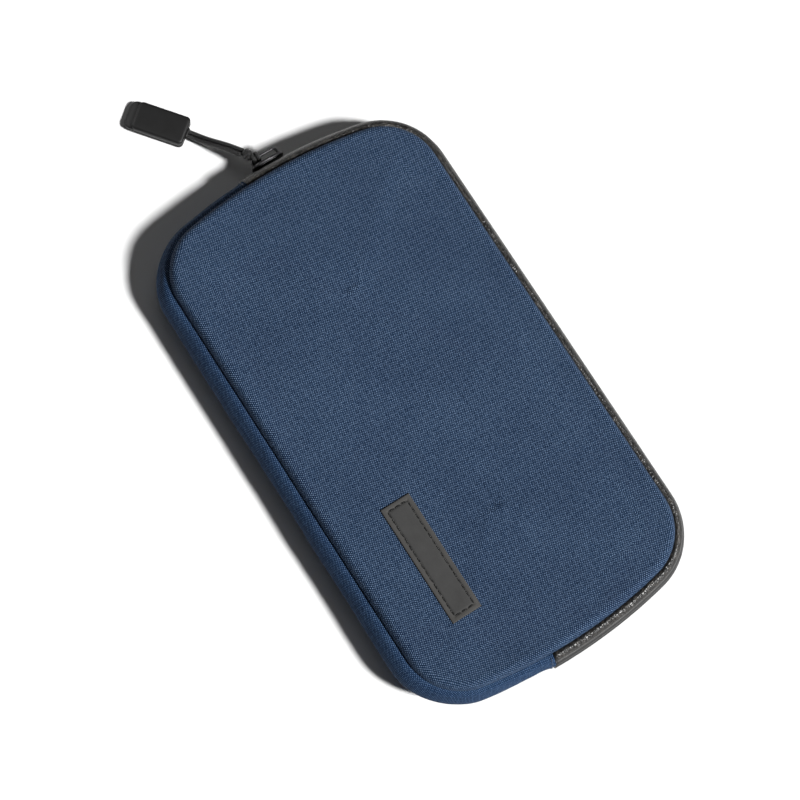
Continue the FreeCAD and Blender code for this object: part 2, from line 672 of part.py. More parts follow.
def make_knot():
    ring = doc.addObject("Part::Torus", "knot_ring")
    bind(ring, "Radius1", "knot_ring_radius")
    bind(ring, "Radius2", "(cord_diameter / 2)")
    ring.Placement.Rotation = FreeCAD.Rotation(Vector(0, 1, 0), 90)
    ball = doc.addObject("Part::Sphere", "knot_ball")
    bind(ball, "Radius", "knot_radius")
    places = ((ring, "knot_x", BAR_Y),
              (ball, "(knot_x + knot_step_x)", "(%s + knot_step_y)" % BAR_Y))
    for item, x, y in places:
        bind(item, "Placement.Base.x", x)
        bind(item, "Placement.Base.y", y)
        bind(item, "Placement.Base.z", "mid_height")
    knot = doc.addObject("Part::Fuse", "pull_knot")
    knot.Label = "pull_knot"
    knot.Base, knot.Tool = ring, ball
    sub_parts.append(knot)


# The cord's route, from the knot down to the tab, which lies on the surface
# that the case lies on. The last run lies inside the tab.
CORD_ROUTE = [
    (-4.4, 130.6, 12.1),
    (-6.9, 134.3, 11.0),
    (-9.6, 138.7, 8.3),
    (-12.9, 143.6, 5.0),
    (-16.1, 148.4, 3.2),
    (-18.9, 152.2, 2.75),
    (-22.3, 156.6, 2.75),
]


def rounded_wire(points):
    """Straight runs joined by tangent arcs, each as large as its two runs allow."""
    edges = []
    start = points[0]
    for before, corner, after in zip(points, points[1:], points[2:]):
        to_before = (before - corner).normalize()
        to_after = (after - corner).normalize()
        half_turn = (math.pi - to_before.getAngle(to_after)) / 2
        reach = 0.45 * min((before - corner).Length, (after - corner).Length)
        radius = reach / math.tan(half_turn)
        bisector = (to_before + to_after).normalize()
        centre = corner + bisector * (radius / math.cos(half_turn))
        first, last = corner + to_before * reach, corner + to_after * reach
        edges.append(Part.LineSegment(start, first).toShape())
        edges.append(Part.Arc(first, centre - bisector * radius, last).toShape())
        start = last
        print("cord bend radius %.1f mm" % radius)
    edges.append(Part.LineSegment(start, points[-1]).toShape())
    return Part.Wire(edges)


def make_cord():
    """Two strands side by side, each a tube of its own."""
    route = [Vector(*point) for point in CORD_ROUTE]
    along = route[-1] - route[0]
    sideways = Vector(along.y, -along.x, 0).normalize()
    radius = value_of["cord_diameter"] / 2
    strands = []
    for side in (-1, 1):
        shift = sideways * (side * value_of["strand_spacing"] / 2)
        wire = rounded_wire([point + shift for point in route])
        circle = Part.Circle(route[0] + shift, route[1] - route[0], radius)
        section = Part.Wire(circle.toShape())
        strand = wire.makePipeShell([section], True, False)
        expected = math.pi * radius ** 2 * wire.Length
        print("cord strand length %.1f mm, volume %.1f of %.1f"
              % (wire.Length, strand.Volume, expected))
        if abs(strand.Volume - expected) > 0.01 * expected:
            raise RuntimeError("the cord's tube has the wrong volume")
        strands.append(strand)
    cord = doc.addObject("Part::Feature", "pull_cord")
    cord.Label = "pull_cord"
    cord.Shape = Part.makeCompound(strands)
    sub_parts.append(cord)


def make_tab():
    """The moulded tab, drawn with its near end at the origin and its length along +Y."""
    body = new_body("pull_tab")
    plan = new_sketch(body, "XY_Plane", "0")
    rectangle(plan, ("0", "(tab_length / 2)"), "tab_width", "tab_length")
    pad = add_pad(body, plan, "tab_thickness")
    round_edges(body, pad, upright_edge, "tab_corner")
    step = new_sketch(body, "XY_Plane", "(tab_thickness - tab_lip_depth)")
    rectangle(step, ("0", "(tab_length - tab_lip_length / 2)"), "(tab_width + 2)",
              "tab_lip_length")
    lip = add_pocket(body, step, "tab_lip_depth", upwards=True)
    round_edges(body, lip, level_edge(number("tab_thickness")), "tab_edge")
    slot = new_sketch(body, "XZ_Plane", "0")
    rectangle(slot, ("0", "(tab_thickness / 2)"), "tab_slot_width", "tab_slot_height")
    add_pocket(body, slot, "tab_slot_depth", upwards=False)
    near_end, inside = [Vector(*point) for point in CORD_ROUTE[-2:]]
    heading = math.degrees(math.atan2(near_end.x - inside.x, inside.y - near_end.y))
    place = Vector(near_end.x, near_end.y, 0)
    body.Placement = FreeCAD.Placement(place, FreeCAD.Rotation(Vector(0, 0, 1), heading))


make_back()
make_front("spine_front", "spine")
make_front("cover", "cover")
make_spine_gusset()
make_zip_half("front", 1)
make_zip_half("back", -1)
make_end_tab("top_end_tab", 1)
make_end_tab("bottom_end_tab", -1)
binding("back_binding", BACK_FLOOR)
binding("spine_front_binding", "(%s - binding_width)" % COVER_CEILING, "spine")
binding("cover_binding", "(%s - binding_width)" % COVER_CEILING, "cover")
make_pockets()
make_pen_loop()
make_mesh_pocket()
make_label()
make_zip_stop("top_zip_stop", 1)
make_zip_stop("bottom_zip_stop", -1)
make_slider()
make_bail()
make_knot()
make_cord()
make_tab()



def failed_objects():
    """Everything in the document that did not compute, and sub-parts with a bad shape."""
    failed = [item.Name for item in doc.Objects
              if "Invalid" in item.State or "Error" in item.State]
    for item in sub_parts:
        if item.Shape.isNull() or not item.Shape.isValid():
            failed.append(item.Label)
    return failed


doc.removeObject("Probe")
doc.recompute()
failed = failed_objects()
if failed:
    raise RuntimeError("failed objects: " + ", ".join(failed))
os.makedirs("parts", exist_ok=True)
for sub_part in sub_parts:
    sub_part.Shape.exportStep("parts/%s.step" % sub_part.Label)
print("%d sub-parts written" % len(sub_parts))
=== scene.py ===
import math

import bpy
from mathutils import Matrix, Vector, noise
from mathutils.bvhtree import BVHTree


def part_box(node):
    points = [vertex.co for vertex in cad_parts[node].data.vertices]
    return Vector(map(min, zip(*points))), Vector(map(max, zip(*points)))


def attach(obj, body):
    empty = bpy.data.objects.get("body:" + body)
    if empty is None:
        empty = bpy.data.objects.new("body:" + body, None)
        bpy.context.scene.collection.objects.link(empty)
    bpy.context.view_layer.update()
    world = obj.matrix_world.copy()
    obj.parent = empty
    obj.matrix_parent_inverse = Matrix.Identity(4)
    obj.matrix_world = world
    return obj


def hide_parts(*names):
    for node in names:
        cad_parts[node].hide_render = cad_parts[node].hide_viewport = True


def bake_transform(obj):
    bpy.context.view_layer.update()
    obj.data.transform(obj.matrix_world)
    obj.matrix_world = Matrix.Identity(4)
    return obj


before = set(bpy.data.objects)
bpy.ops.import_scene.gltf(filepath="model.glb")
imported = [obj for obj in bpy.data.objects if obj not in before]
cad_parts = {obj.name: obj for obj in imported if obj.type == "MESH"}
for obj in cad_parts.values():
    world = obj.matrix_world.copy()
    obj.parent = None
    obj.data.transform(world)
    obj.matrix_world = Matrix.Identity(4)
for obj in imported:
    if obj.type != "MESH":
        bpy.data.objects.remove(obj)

MM = 0.001
UP = Vector((0, 0, 1))
ALONG_X = Vector((1, 0, 0))
ALONG_Y = Vector((0, 1, 0))
QUARTER = math.pi / 2
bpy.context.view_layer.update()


# ---- case geometry

def box_of(node):
    """A node's lowest and highest corners."""
    low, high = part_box(node)
    return Vector(low), Vector(high)


back_high = box_of("back_panel")[1]
cover_low, cover_high = box_of("cover_panel")
SEAM_X, SEAM_Y = back_high.x, back_high.y
TOP = cover_high.z
MID = TOP / 2
FRONT_SEAM, BACK_SEAM = cover_low.z, back_high.z
RISE = FRONT_SEAM - MID
BULGE = -box_of("spine_gusset")[0].x - SEAM_X
FOLD = (cover_low.x + box_of("spine_front_panel")[1].x) / 2

# The plan's corner radius, and the radius of its two bowed short sides.
CORNER = 24.2 * MM
BOW = 225 * MM

# The side bands bulge outwards on an arc through both seams.
BAND_R = (RISE ** 2 + BULGE ** 2) / (2 * BULGE)
BAND_N = BULGE - BAND_R

# The middles of the arcs in plan, and the heading where bow and corner meet.
CORNER_X = SEAM_X - CORNER
BOW_Y = SEAM_Y - BOW
CORNER_Y = BOW_Y + math.sqrt((BOW - CORNER) ** 2 - CORNER_X ** 2)
TURN = math.atan2(CORNER_X, CORNER_Y - BOW_Y)


def seam_stretches():
    """The seam line in plan, clockwise from the middle of the +Y side.

    Each stretch is ("arc", centre, radius, first heading, last heading), or
    ("run", start, length, heading, heading).
    """
    return [
        ("arc", Vector((0, BOW_Y)), BOW, 0, TURN),
        ("arc", Vector((CORNER_X, CORNER_Y)), CORNER, TURN, QUARTER),
        ("run", Vector((SEAM_X, CORNER_Y)), 2 * CORNER_Y, QUARTER, QUARTER),
        ("arc", Vector((CORNER_X, -CORNER_Y)), CORNER, QUARTER, 2 * QUARTER - TURN),
        ("arc", Vector((0, -BOW_Y)), BOW, 2 * QUARTER - TURN, 2 * QUARTER + TURN),
        ("arc", Vector((-CORNER_X, -CORNER_Y)), CORNER, 2 * QUARTER + TURN, 3 * QUARTER),
        ("run", Vector((-SEAM_X, -CORNER_Y)), 2 * CORNER_Y, 3 * QUARTER, 3 * QUARTER),
        ("arc", Vector((-CORNER_X, CORNER_Y)), CORNER, 3 * QUARTER, 4 * QUARTER - TURN),
        ("arc", Vector((0, BOW_Y)), BOW, 4 * QUARTER - TURN, 4 * QUARTER),
    ]


def stretch_length(stretch):
    """Length of one stretch of the seam line."""
    kind, _, size, first, last = stretch
    return size if kind == "run" else size * (last - first)


STRETCHES = seam_stretches()
SEAM_LENGTH = sum(stretch_length(item) for item in STRETCHES)
SEAM_STEP = 2.2 * MM

# The zip runs along the seam line between these distances.
ZIP_FROM = -BOW * math.asin(-FOLD / BOW)
ZIP_TO = SEAM_LENGTH / 2 - ZIP_FROM


def seam_at(s):
    """Point and outward normal of the seam line at a distance along it."""
    s = s % SEAM_LENGTH
    for stretch in STRETCHES:
        length = stretch_length(stretch)
        if s <= length:
            break
        s -= length
    kind, centre, size, first, _ = stretch
    if kind == "run":
        normal = Vector((math.sin(first), math.cos(first)))
        forward = Vector((normal.y, -normal.x))
        return centre + forward * s, normal
    heading = first + s / size
    normal = Vector((math.sin(heading), math.cos(heading)))
    return centre + normal * size, normal


def beside_seam(s, out, z):
    """A point beside the seam line: out is positive away from the case."""
    point, normal = seam_at(s)
    flat = point + normal * out
    return Vector((flat.x, flat.y, z))


def steps(first, last, size):
    """Evenly spaced values from first to last, about size apart."""
    count = max(1, math.ceil(abs(last - first) / size))
    return [first + (last - first) * i / count for i in range(count + 1)]


def seam_steps():
    """Distances all the way round the seam line."""
    return steps(0, SEAM_LENGTH, SEAM_STEP)[:-1]


# ---- shape helpers

def round_angles(count):
    """Evenly spaced angles round a circle."""
    return [2 * math.pi * k / count for k in range(count)]


def squared(angle, x_power, y_power):
    """A point of a circle of radius 1 that is squarer the smaller the powers are."""
    c, d = math.cos(angle), math.sin(angle)
    return math.copysign(abs(c) ** x_power, c), math.copysign(abs(d) ** y_power, d)


def rounded(distance, radius):
    """Height of a rounded edge: 0 at the rim, 1 from a radius inwards."""
    return math.sqrt(max(0, 1 - (1 - min(distance / radius, 1)) ** 2))


def ridge_at(distance, middle, width):
    """A smooth ridge: 1 at its middle, fading over its width."""
    return math.exp(-((distance - middle) / width) ** 2)


def spaced(low, high, near_ends, start, step):
    """Values from low to high: at given distances from both ends, and evenly from start.

    near_ends, start and step are in millimetres.
    """
    ends = [distance * MM for distance in near_ends]
    middle = steps(low + start * MM, high - start * MM, step * MM)
    return [low + d for d in ends] + middle + [high - d for d in reversed(ends)]


def rim_distance(x, y, low, high):
    """How far a plan point is inside a box."""
    return min(x - low.x, high.x - x, y - low.y, high.y - y)


# ---- mesh helpers

def shade_smooth(mesh):
    for polygon in mesh.polygons:
        polygon.use_smooth = True


def add_cloth_coords(mesh, coords):
    """Store where each point lies on the flat cloth, in metres. The materials read it."""
    values = mesh.attributes.new("cloth", "FLOAT_VECTOR", "POINT")
    values.data.foreach_set("vector", [number for point in coords for number in point])


def mesh_object(name, points, faces, coords=None):
    """A mesh piece, with the cloth coordinates of its points if they aren't the points."""
    mesh = bpy.data.meshes.new(name)
    mesh.from_pydata([tuple(p) for p in points], [], faces)
    mesh.validate()
    add_cloth_coords(mesh, coords or points)
    shade_smooth(mesh)
    mesh.update()
    obj = bpy.data.objects.new(name, mesh)
    bpy.context.collection.objects.link(obj)
    return obj


def ring_faces(rings, size, looped, capped):
    """Faces that join rings of points, each ring a closed loop of the same size."""
    faces = []
    last = rings if looped else rings - 1
    for i in range(last):
        for k in range(size):
            a, b = i * size + k, i * size + (k + 1) % size
            j = (i + 1) % rings
            faces.append((a, b, j * size + (k + 1) % size, j * size + k))
    if capped and not looped:
        faces.append(tuple(reversed(range(size))))
        faces.append(tuple((rings - 1) * size + k for k in range(size)))
    return faces


def loft_parts(name, parts, looped=False):
    """Closed solids in one piece. Each part is its rings of points and their coordinates."""
    points, flat, faces = [], [], []
    for rings, coords in parts:
        start = len(points)
        for ring in rings:
            points.extend(ring)
        for ring in coords or rings:
            flat.extend(ring)
        for face in ring_faces(len(rings), len(rings[0]), looped, True):
            faces.append(tuple(start + index for index in face))
    return mesh_object(name, points, faces, flat)


def loft(name, rings, coords=None, looped=False):
    """One closed solid through rings of points."""
    return loft_parts(name, [(rings, coords)], looped)


def evaluated_mesh(obj):
    """A new mesh with the object's modifiers or its curve worked out."""
    graph = bpy.context.evaluated_depsgraph_get()
    return bpy.data.meshes.new_from_object(obj.evaluated_get(graph))


def applied(obj):
    """Apply a piece's modifiers."""
    mesh = evaluated_mesh(obj)
    obj.modifiers.clear()
    obj.data = mesh
    shade_smooth(mesh)
    return obj


def welded(obj, distance):
    """Merge points that lie closer together than a distance."""
    weld = obj.modifiers.new("weld", "WELD")
    weld.merge_threshold = distance
    return applied(obj)


# Pieces given BENDING are baked in place instead of being attached to a body.
BENDING = "bending"
SIDE_BODIES = {"front": BENDING, "back": "case"}
SIDE_SIGNS = {"front": 1, "back": -1}


def place(obj, body, material, slot, *nodes):
    """Give a piece its material, its body or BENDING, and the CAD nodes that it stands for."""
    obj.data.materials.clear()
    obj.data.materials.append(material)
    if body == BENDING:
        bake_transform(obj)
    else:
        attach(obj, body)
    if nodes:
        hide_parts(*nodes)
    return obj


# ---- materials

def grey(value):
    """The same value for all three channels, or axes."""
    return value, value, value


class Nodes:
    """Short names for building a material's node tree. Most give the new node's output."""

    def __init__(self, name):
        self.material = bpy.data.materials.new(name)
        self.material.use_nodes = True
        self.tree = self.material.node_tree
        self.shader = self.tree.nodes["Principled BSDF"]

    def feed(self, socket, value):
        """Set a socket's value, or link it to another node's output."""
        if isinstance(value, bpy.types.NodeSocket):
            self.tree.links.new(value, socket)
        elif socket.type == "RGBA":
            socket.default_value = (*value, 1)
        else:
            socket.default_value = value

    def add(self, kind, inputs, **settings):
        """A node with its inputs fed, by name or number."""
        node = self.tree.nodes.new(kind)
        for key, value in settings.items():
            setattr(node, key, value)
        for key, value in inputs.items():
            self.feed(node.inputs[key], value)
        return node

    def math(self, operation, *values):
        inputs = dict(enumerate(values))
        return self.add("ShaderNodeMath", inputs, operation=operation).outputs[0]

    def vector_math(self, operation, *values):
        inputs = dict(enumerate(values))
        return self.add("ShaderNodeVectorMath", inputs, operation=operation).outputs[0]

    def cloth(self):
        """The piece's own cloth coordinates, in metres."""
        return self.add("ShaderNodeAttribute", {}, attribute_name="cloth").outputs["Vector"]

    def axes(self, vector):
        """The three coordinates of a vector."""
        return tuple(self.add("ShaderNodeSeparateXYZ", {0: vector}).outputs)

    def noise(self, vector, scale, detail=3.0, rough=0.55, output="Fac"):
        inputs = {"Vector": vector, "Scale": scale, "Detail": detail, "Roughness": rough}
        return self.add("ShaderNodeTexNoise", inputs).outputs[output]

    def ramp(self, factor, stops):
        node = self.add("ShaderNodeValToRGB", {"Fac": factor})
        band = node.color_ramp
        for index, (position, color) in enumerate(stops):
            item = band.elements[index] if index < 2 else band.elements.new(position)
            item.position = position
            item.color = (*color, 1)
        return node.outputs["Color"]

    def mix(self, factor, first, second, blend="MIX"):
        inputs = {0: factor, 6: first, 7: second}
        node = self.add("ShaderNodeMix", inputs, data_type="RGBA", blend_type=blend)
        return node.outputs[2]

    def color(self, source):
        self.feed(self.shader.inputs["Base Color"], source)

    def bump(self, height, distance):
        node = self.add("ShaderNodeBump", {"Distance": distance, "Height": height})
        self.feed(self.shader.inputs["Normal"], node.outputs["Normal"])

    def roughness(self, source, low, high):
        """Roughness low where the source is 0, and high where it is 1."""
        node = self.add("ShaderNodeMapRange", {"Value": source, "To Min": low, "To Max": high})
        self.feed(self.shader.inputs["Roughness"], node.outputs["Result"])

    def finished(self, **values):
        """Set the shader's own sockets, and give the material."""
        for key, value in values.items():
            self.shader.inputs[key.replace("_", " ")].default_value = value
        return self.material


RIPSTOP = 5


def weave(n, pitch):
    """A plain weave: height of the yarns, 0 to 1, and how bright each crossing is.

    Every RIPSTOP-th yarn each way is a little brighter.
    """
    axes = n.axes(n.vector_math("MULTIPLY", n.cloth(), grey(1 / pitch)))[:2]
    cells = [n.math("FLOOR", axis) for axis in axes]
    humps = [n.math("SINE", n.math("MULTIPLY", n.math("FRACT", axis), math.pi)) for axis in axes]
    parity = n.math("FLOORED_MODULO", n.math("ADD", *cells), 2)
    warp, weft = [n.math("MULTIPLY", n.math("POWER", humps[i], 0.8),
                         n.math("ADD", n.math("MULTIPLY", humps[1 - i], 0.6), 0.4))
                  for i in (0, 1)]
    height = n.math("ADD", n.math("MULTIPLY", warp, parity),
                    n.math("MULTIPLY", weft, n.math("SUBTRACT", 1, parity)))
    cell = n.add("ShaderNodeCombineXYZ", dict(enumerate(cells))).outputs[0]
    chance = n.add("ShaderNodeTexWhiteNoise", {"Vector": cell}, noise_dimensions="3D")
    shine = n.math("ADD", n.math("MULTIPLY", parity, 0.6), 0.32)
    uneven = n.math("ADD", n.math("MULTIPLY", chance.outputs["Value"], 0.3), 0.8)
    shine = n.math("MULTIPLY", shine, uneven)
    thick = [n.math("LESS_THAN", n.math("FLOORED_MODULO", value, RIPSTOP), 1)
             for value in cells]
    lines = n.math("MULTIPLY", n.math("MAXIMUM", *thick), 0.13)
    return height, n.math("ADD", shine, lines)


def woven(name, dark, middle, light, pitch, relief, shine=0.2):
    """Woven cloth: lit yarn crowns, dark gaps, uneven yarns and soft patches of shade."""
    n = Nodes(name)
    height, bright = weave(n, pitch)
    patches = n.noise(n.cloth(), 28.0, 3.0)
    base = n.ramp(n.math("MULTIPLY", height, bright),
                  [(0.08, dark), (0.40, middle), (0.88, light)])
    shade = n.ramp(patches, [(0.3, (0.88, 0.88, 0.9)), (0.7, (1.08, 1.08, 1.07))])
    n.color(n.mix(1.0, base, shade, "MULTIPLY"))
    n.roughness(height, 0.78, 0.6)
    n.bump(height, relief)
    return n.finished(Specular_IOR_Level=shine)


def leather(name):
    """Pebbled leather-look trim: rounded cells, painted shade in the creases between them, and
    painted highlight flecks.
    """
    n = Nodes(name)
    wobble = n.noise(n.cloth(), 600, 2.0, 0.5, "Color")
    warped = n.vector_math("ADD", n.cloth(), n.vector_math("MULTIPLY", wobble, grey(0.6 * MM)))
    cells = n.add("ShaderNodeTexVoronoi", {"Vector": warped, "Scale": 950},
                  feature="DISTANCE_TO_EDGE")
    pebble = n.ramp(cells.outputs["Distance"], [(0.0, grey(0)), (0.22, grey(1))])
    fine = n.noise(n.cloth(), 2600, 2.0)
    tone = n.noise(n.cloth(), 160, 3.0)
    # The creases are painted much darker than the pebble tops: painted shade.
    base = n.mix(pebble, (0.0012, 0.0011, 0.001), (0.0075, 0.0068, 0.006))
    # Scattered lighter flecks: painted highlights on the pebbles.
    highlight_flecks = n.ramp(n.noise(n.cloth(), 650, 2.0), [(0.5, grey(0)), (0.68, grey(0.75))])
    n.color(n.mix(highlight_flecks, base, (0.036, 0.031, 0.025)))
    n.roughness(tone, 0.28, 0.44)
    n.bump(n.math("ADD", pebble, n.math("MULTIPLY", fine, 0.2)), 0.1 * MM)
    return n.finished(Specular_IOR_Level=0.5)


def coated_tape(name):
    """Zip tape under a smooth film, with faint ribs along it."""
    n = Nodes(name)
    across = n.axes(n.cloth())[1]
    rib = n.math("SINE", n.math("MULTIPLY", across, 2 * math.pi / (0.8 * MM)))
    tone = n.noise(n.cloth(), 220, 3.0)
    n.color(n.ramp(tone, [(0.3, grey(0.0045)), (0.75, (0.012, 0.0117, 0.0113))]))
    n.roughness(tone, 0.36, 0.5)
    n.bump(n.math("ADD", rib, n.math("MULTIPLY", tone, 0.8)), 0.05 * MM)
    return n.finished(Specular_IOR_Level=0.5)


def plastic(name, dark, light, rough, grain, relief, shine=0.4):
    """Moulded plastic or rubber with a fine matt grain and slight tone changes."""
    n = Nodes(name)
    fine = n.noise(n.cloth(), grain, 2.0, 0.6)
    tone = n.noise(n.cloth(), grain / 12, 3.0)
    n.color(n.ramp(tone, [(0.3, dark), (0.75, light)]))
    n.roughness(fine, rough[0], rough[1])
    n.bump(fine, relief)
    return n.finished(Specular_IOR_Level=shine)


def label_rubber(name):
    """Matt rubber, darker inside its stitched seam.

    The label's third cloth coordinate is the distance from its rim.
    """
    n = Nodes(name)
    rim = n.math("DIVIDE", n.axes(n.cloth())[2], 2 * LABEL_SEAM)
    fine = n.noise(n.cloth(), 2400, 2.0, 0.6)
    base = n.ramp(rim, [(0.42, (0.0445, 0.0428, 0.0405)), (0.58, (0.0335, 0.0332, 0.0326))])
    tone = n.ramp(n.noise(n.cloth(), 200, 3.0), [(0.3, grey(0.9)), (0.75, grey(1.1))])
    n.color(n.mix(1.0, base, tone, "MULTIPLY"))
    n.roughness(fine, 0.66, 0.8)
    n.bump(fine, 0.03 * MM)
    return n.finished(Specular_IOR_Level=0.25)


def black_metal(name):
    """Painted zinc: satin black with fine wear."""
    n = Nodes(name)
    wear = n.noise(n.cloth(), 900, 4.0, 0.7)
    n.color(n.ramp(wear, [(0.35, (0.010, 0.010, 0.011)), (0.8, (0.045, 0.045, 0.047))]))
    n.roughness(wear, 0.24, 0.42)
    n.bump(wear, 0.015 * MM)
    return n.finished(Metallic=0.55, Specular_IOR_Level=0.5)


def braid(name, dark, light, strand):
    """Braided cord: two sets of slanting strands, from length and way round."""
    n = Nodes(name)
    scale = (1 / strand, 1 / strand, 1)
    run, turn, _ = n.axes(n.vector_math("MULTIPLY", n.cloth(), scale))
    slants = [n.math("SINE", n.math("MULTIPLY", n.math(way, run, turn), math.pi))
              for way in ("ADD", "SUBTRACT")]
    height = n.math("ABSOLUTE", n.math("MULTIPLY", *slants))
    fibre = n.noise(n.cloth(), 4000, 2.0)
    # Strand crowns are painted lighter and the grooves between them darker: painted highlight
    # and painted shade.
    n.color(n.ramp(n.math("MULTIPLY", height, n.math("ADD", fibre, 0.4)),
                   [(0.05, dark), (0.9, light)]))
    n.roughness(fibre, 0.34, 0.55)
    n.bump(height, 0.1 * MM)
    return n.finished(Specular_IOR_Level=0.5)


def floor_paint(name):
    """Pale paper sweep with a very faint tone."""
    n = Nodes(name)
    where = n.add("ShaderNodeTexCoord", {}).outputs["Object"]
    tone = n.noise(where, 6.0, 2.0)
    n.color(n.ramp(tone, [(0.3, grey(0.71)), (0.7, grey(0.73))]))
    return n.finished(Roughness=0.9, Specular_IOR_Level=0.1)


# Colours are dark, middle, light; then come pitch and relief.
NAVY = woven("navy_weave", (0.0008, 0.0038, 0.014), (0.0132, 0.0335, 0.0755),
             (0.140, 0.203, 0.305), 0.5 * MM, 0.09 * MM, shine=0.04)
# The side bands' cloth: a darker, more saturated copy of the navy weave. It is the same fabric
# as the panels, and the difference is painted shade.
SHADED_SIDE_NAVY = woven("shaded_side_navy_weave", (0.0008, 0.0042, 0.017), (0.0125, 0.0345, 0.083),
                  (0.095, 0.160, 0.270), 0.5 * MM, 0.08 * MM, shine=0.04)
LINING = woven("lining_weave", (0.06, 0.064, 0.07), (0.12, 0.125, 0.132),
               (0.2, 0.205, 0.21), 0.38 * MM, 0.05 * MM)
POCKET = woven("pocket_weave", (0.045, 0.048, 0.053), (0.09, 0.094, 0.1),
               (0.16, 0.165, 0.17), 0.42 * MM, 0.06 * MM)
BINDING = woven("binding_weave", (0.008, 0.009, 0.011), (0.022, 0.024, 0.027),
                (0.07, 0.072, 0.076), 0.55 * MM, 0.08 * MM)
ELASTIC = woven("elastic_weave", (0.006, 0.006, 0.007), (0.018, 0.018, 0.02),
                (0.06, 0.06, 0.062), 0.7 * MM, 0.12 * MM)
LEATHER = leather("pebbled_trim")
TAPE = coated_tape("coated_tape")
FOAM = plastic("foam", (0.2, 0.2, 0.21), (0.3, 0.3, 0.31), (0.85, 0.95), 1500, 0.08 * MM)
LABEL_SEAM = 2.2 * MM  # from the label's rim to its stitches
LABEL = label_rubber("label_rubber")
COIL = plastic("coil_nylon", (0.012, 0.012, 0.013), (0.03, 0.03, 0.032),
               (0.3, 0.45), 2000, 0.01 * MM)
METAL = black_metal("painted_metal")
CORD = braid("cord_braid", grey(0.001), (0.009, 0.009, 0.0095), 0.55 * MM)
RUBBER = plastic("tab_rubber", grey(0.002), (0.004, 0.004, 0.0042),
                 (0.46, 0.6), 2600, 0.015 * MM, shine=0.3)
NET = woven("net_knit", (0.006, 0.006, 0.007), (0.02, 0.02, 0.022), (0.06, 0.06, 0.065),
            0.3 * MM, 0.05 * MM)
THREAD = braid("thread_twist", grey(0.001), grey(0.008), 0.25 * MM)
NAVY_THREAD = braid("navy_thread_twist", (0.01, 0.02, 0.05), (0.06, 0.1, 0.18), 0.25 * MM)


# ---- camera and light

CAMERA_AT = Vector((-179.1, -110.5, 792.2)) * MM
TARGET = Vector((-5.3, 6.0, 11.0)) * MM
ROLL_HEADING = math.radians(32.9)
LENS = 88.4


def make_camera():
    """Nearly overhead, from the spine side, with the case turned in the frame."""
    data = bpy.data.cameras.new("camera")
    camera = bpy.data.objects.new("camera", data)
    bpy.context.collection.objects.link(camera)
    back = (CAMERA_AT - TARGET).normalized()
    heading = Vector((math.sin(ROLL_HEADING), math.cos(ROLL_HEADING), 0))
    right = heading.cross(back).normalized()
    camera.matrix_world = Matrix((right, back.cross(right), back)).transposed().to_4x4()
    camera.location = CAMERA_AT
    data.lens = LENS
    data.clip_start = 0.01
    bpy.context.scene.camera = camera


def light_from(name, kind, heading, elevation, distance, power):
    """A light that faces the case. Heading is clockwise from +Y; both angles are in degrees."""
    data = bpy.data.lights.new(name, kind)
    data.energy = power
    light = bpy.data.objects.new(name, data)
    bpy.context.collection.objects.link(light)
    a, e = math.radians(heading), math.radians(elevation)
    away = Vector((math.sin(a) * math.cos(e), math.cos(a) * math.cos(e), math.sin(e)))
    light.location = away * distance
    light.rotation_mode = "QUATERNION"
    light.rotation_quaternion = away.to_track_quat("Z", "Y")
    return light


def make_sky():
    """White round the horizon and dim overhead, so that shadows stay deep on the floor."""
    world = bpy.data.worlds.new("studio")
    world.use_nodes = True
    nodes, links = world.node_tree.nodes, world.node_tree.links
    where = nodes.new("ShaderNodeTexCoord")
    split = nodes.new("ShaderNodeSeparateXYZ")
    ramp = nodes.new("ShaderNodeValToRGB")
    links.new(where.outputs["Generated"], split.inputs[0])
    links.new(split.outputs["Z"], ramp.inputs["Fac"])
    links.new(ramp.outputs["Color"], nodes["Background"].inputs["Color"])
    for element, (position, level) in zip(ramp.color_ramp.elements, ((0.03, 1), (0.16, 0.035))):
        element.position = position
        element.color = (*grey(level), 1)
    bpy.context.scene.world = world


def make_studio():
    """Floor, a sun as key light, a fill without gloss, and a rim that gives only gloss."""
    size = 12
    corners = [(-size, -size, 0), (size, -size, 0), (size, size, 0), (-size, size, 0)]
    floor = mesh_object("floor", corners, [(0, 1, 2, 3)])
    floor.data.materials.append(floor_paint("paper"))
    floor.location.z = -0.05 * MM
    key = light_from("key", "SUN", 149, 48, 1.6, 6.2)
    key.data.angle = math.radians(8)
    fill = light_from("fill", "AREA", 30, 70, 1.4, 0.9)
    fill.data.size = 0.8
    fill.visible_glossy = False
    rim = light_from("rim", "AREA", 335, 40, 1.2, 6)
    rim.data.size = 0.5
    rim.visible_diffuse = False
    make_sky()
    bpy.context.scene.view_settings.view_transform = "Standard"


make_camera()


# ---- pull cord

CORD_DIAMETER = 1.9 * MM
STRAND_SPACING = 2.0 * MM

# The cord's route in millimetres, from the knot to inside the tab.
CORD_ROUTE = [
    (-4.4, 130.6, 12.1),
    (-6.7, 134.4, 11.0),
    (-9.2, 138.9, 8.3),
    (-12.3, 144.0, 5.0),
    (-15.3, 148.9, 3.2),
    (-17.9, 152.8, 2.75),
    (-21.1, 157.4, 2.75),
]


def smooth_line(route):
    """The points of a NURBS spline whose control points are the route's."""
    curve = bpy.data.curves.new("line", "CURVE")
    curve.dimensions = "3D"
    spline = curve.splines.new("NURBS")
    spline.points.add(len(route) - 1)
    for point, place_at in zip(spline.points, route):
        point.co = (*place_at, 1)
    spline.order_u = 3
    spline.use_endpoint_u = True
    spline.resolution_u = 12
    obj = bpy.data.objects.new("line", curve)
    bpy.context.collection.objects.link(obj)
    line = [v.co.copy() for v in evaluated_mesh(obj).vertices]
    bpy.data.objects.remove(obj)
    return line


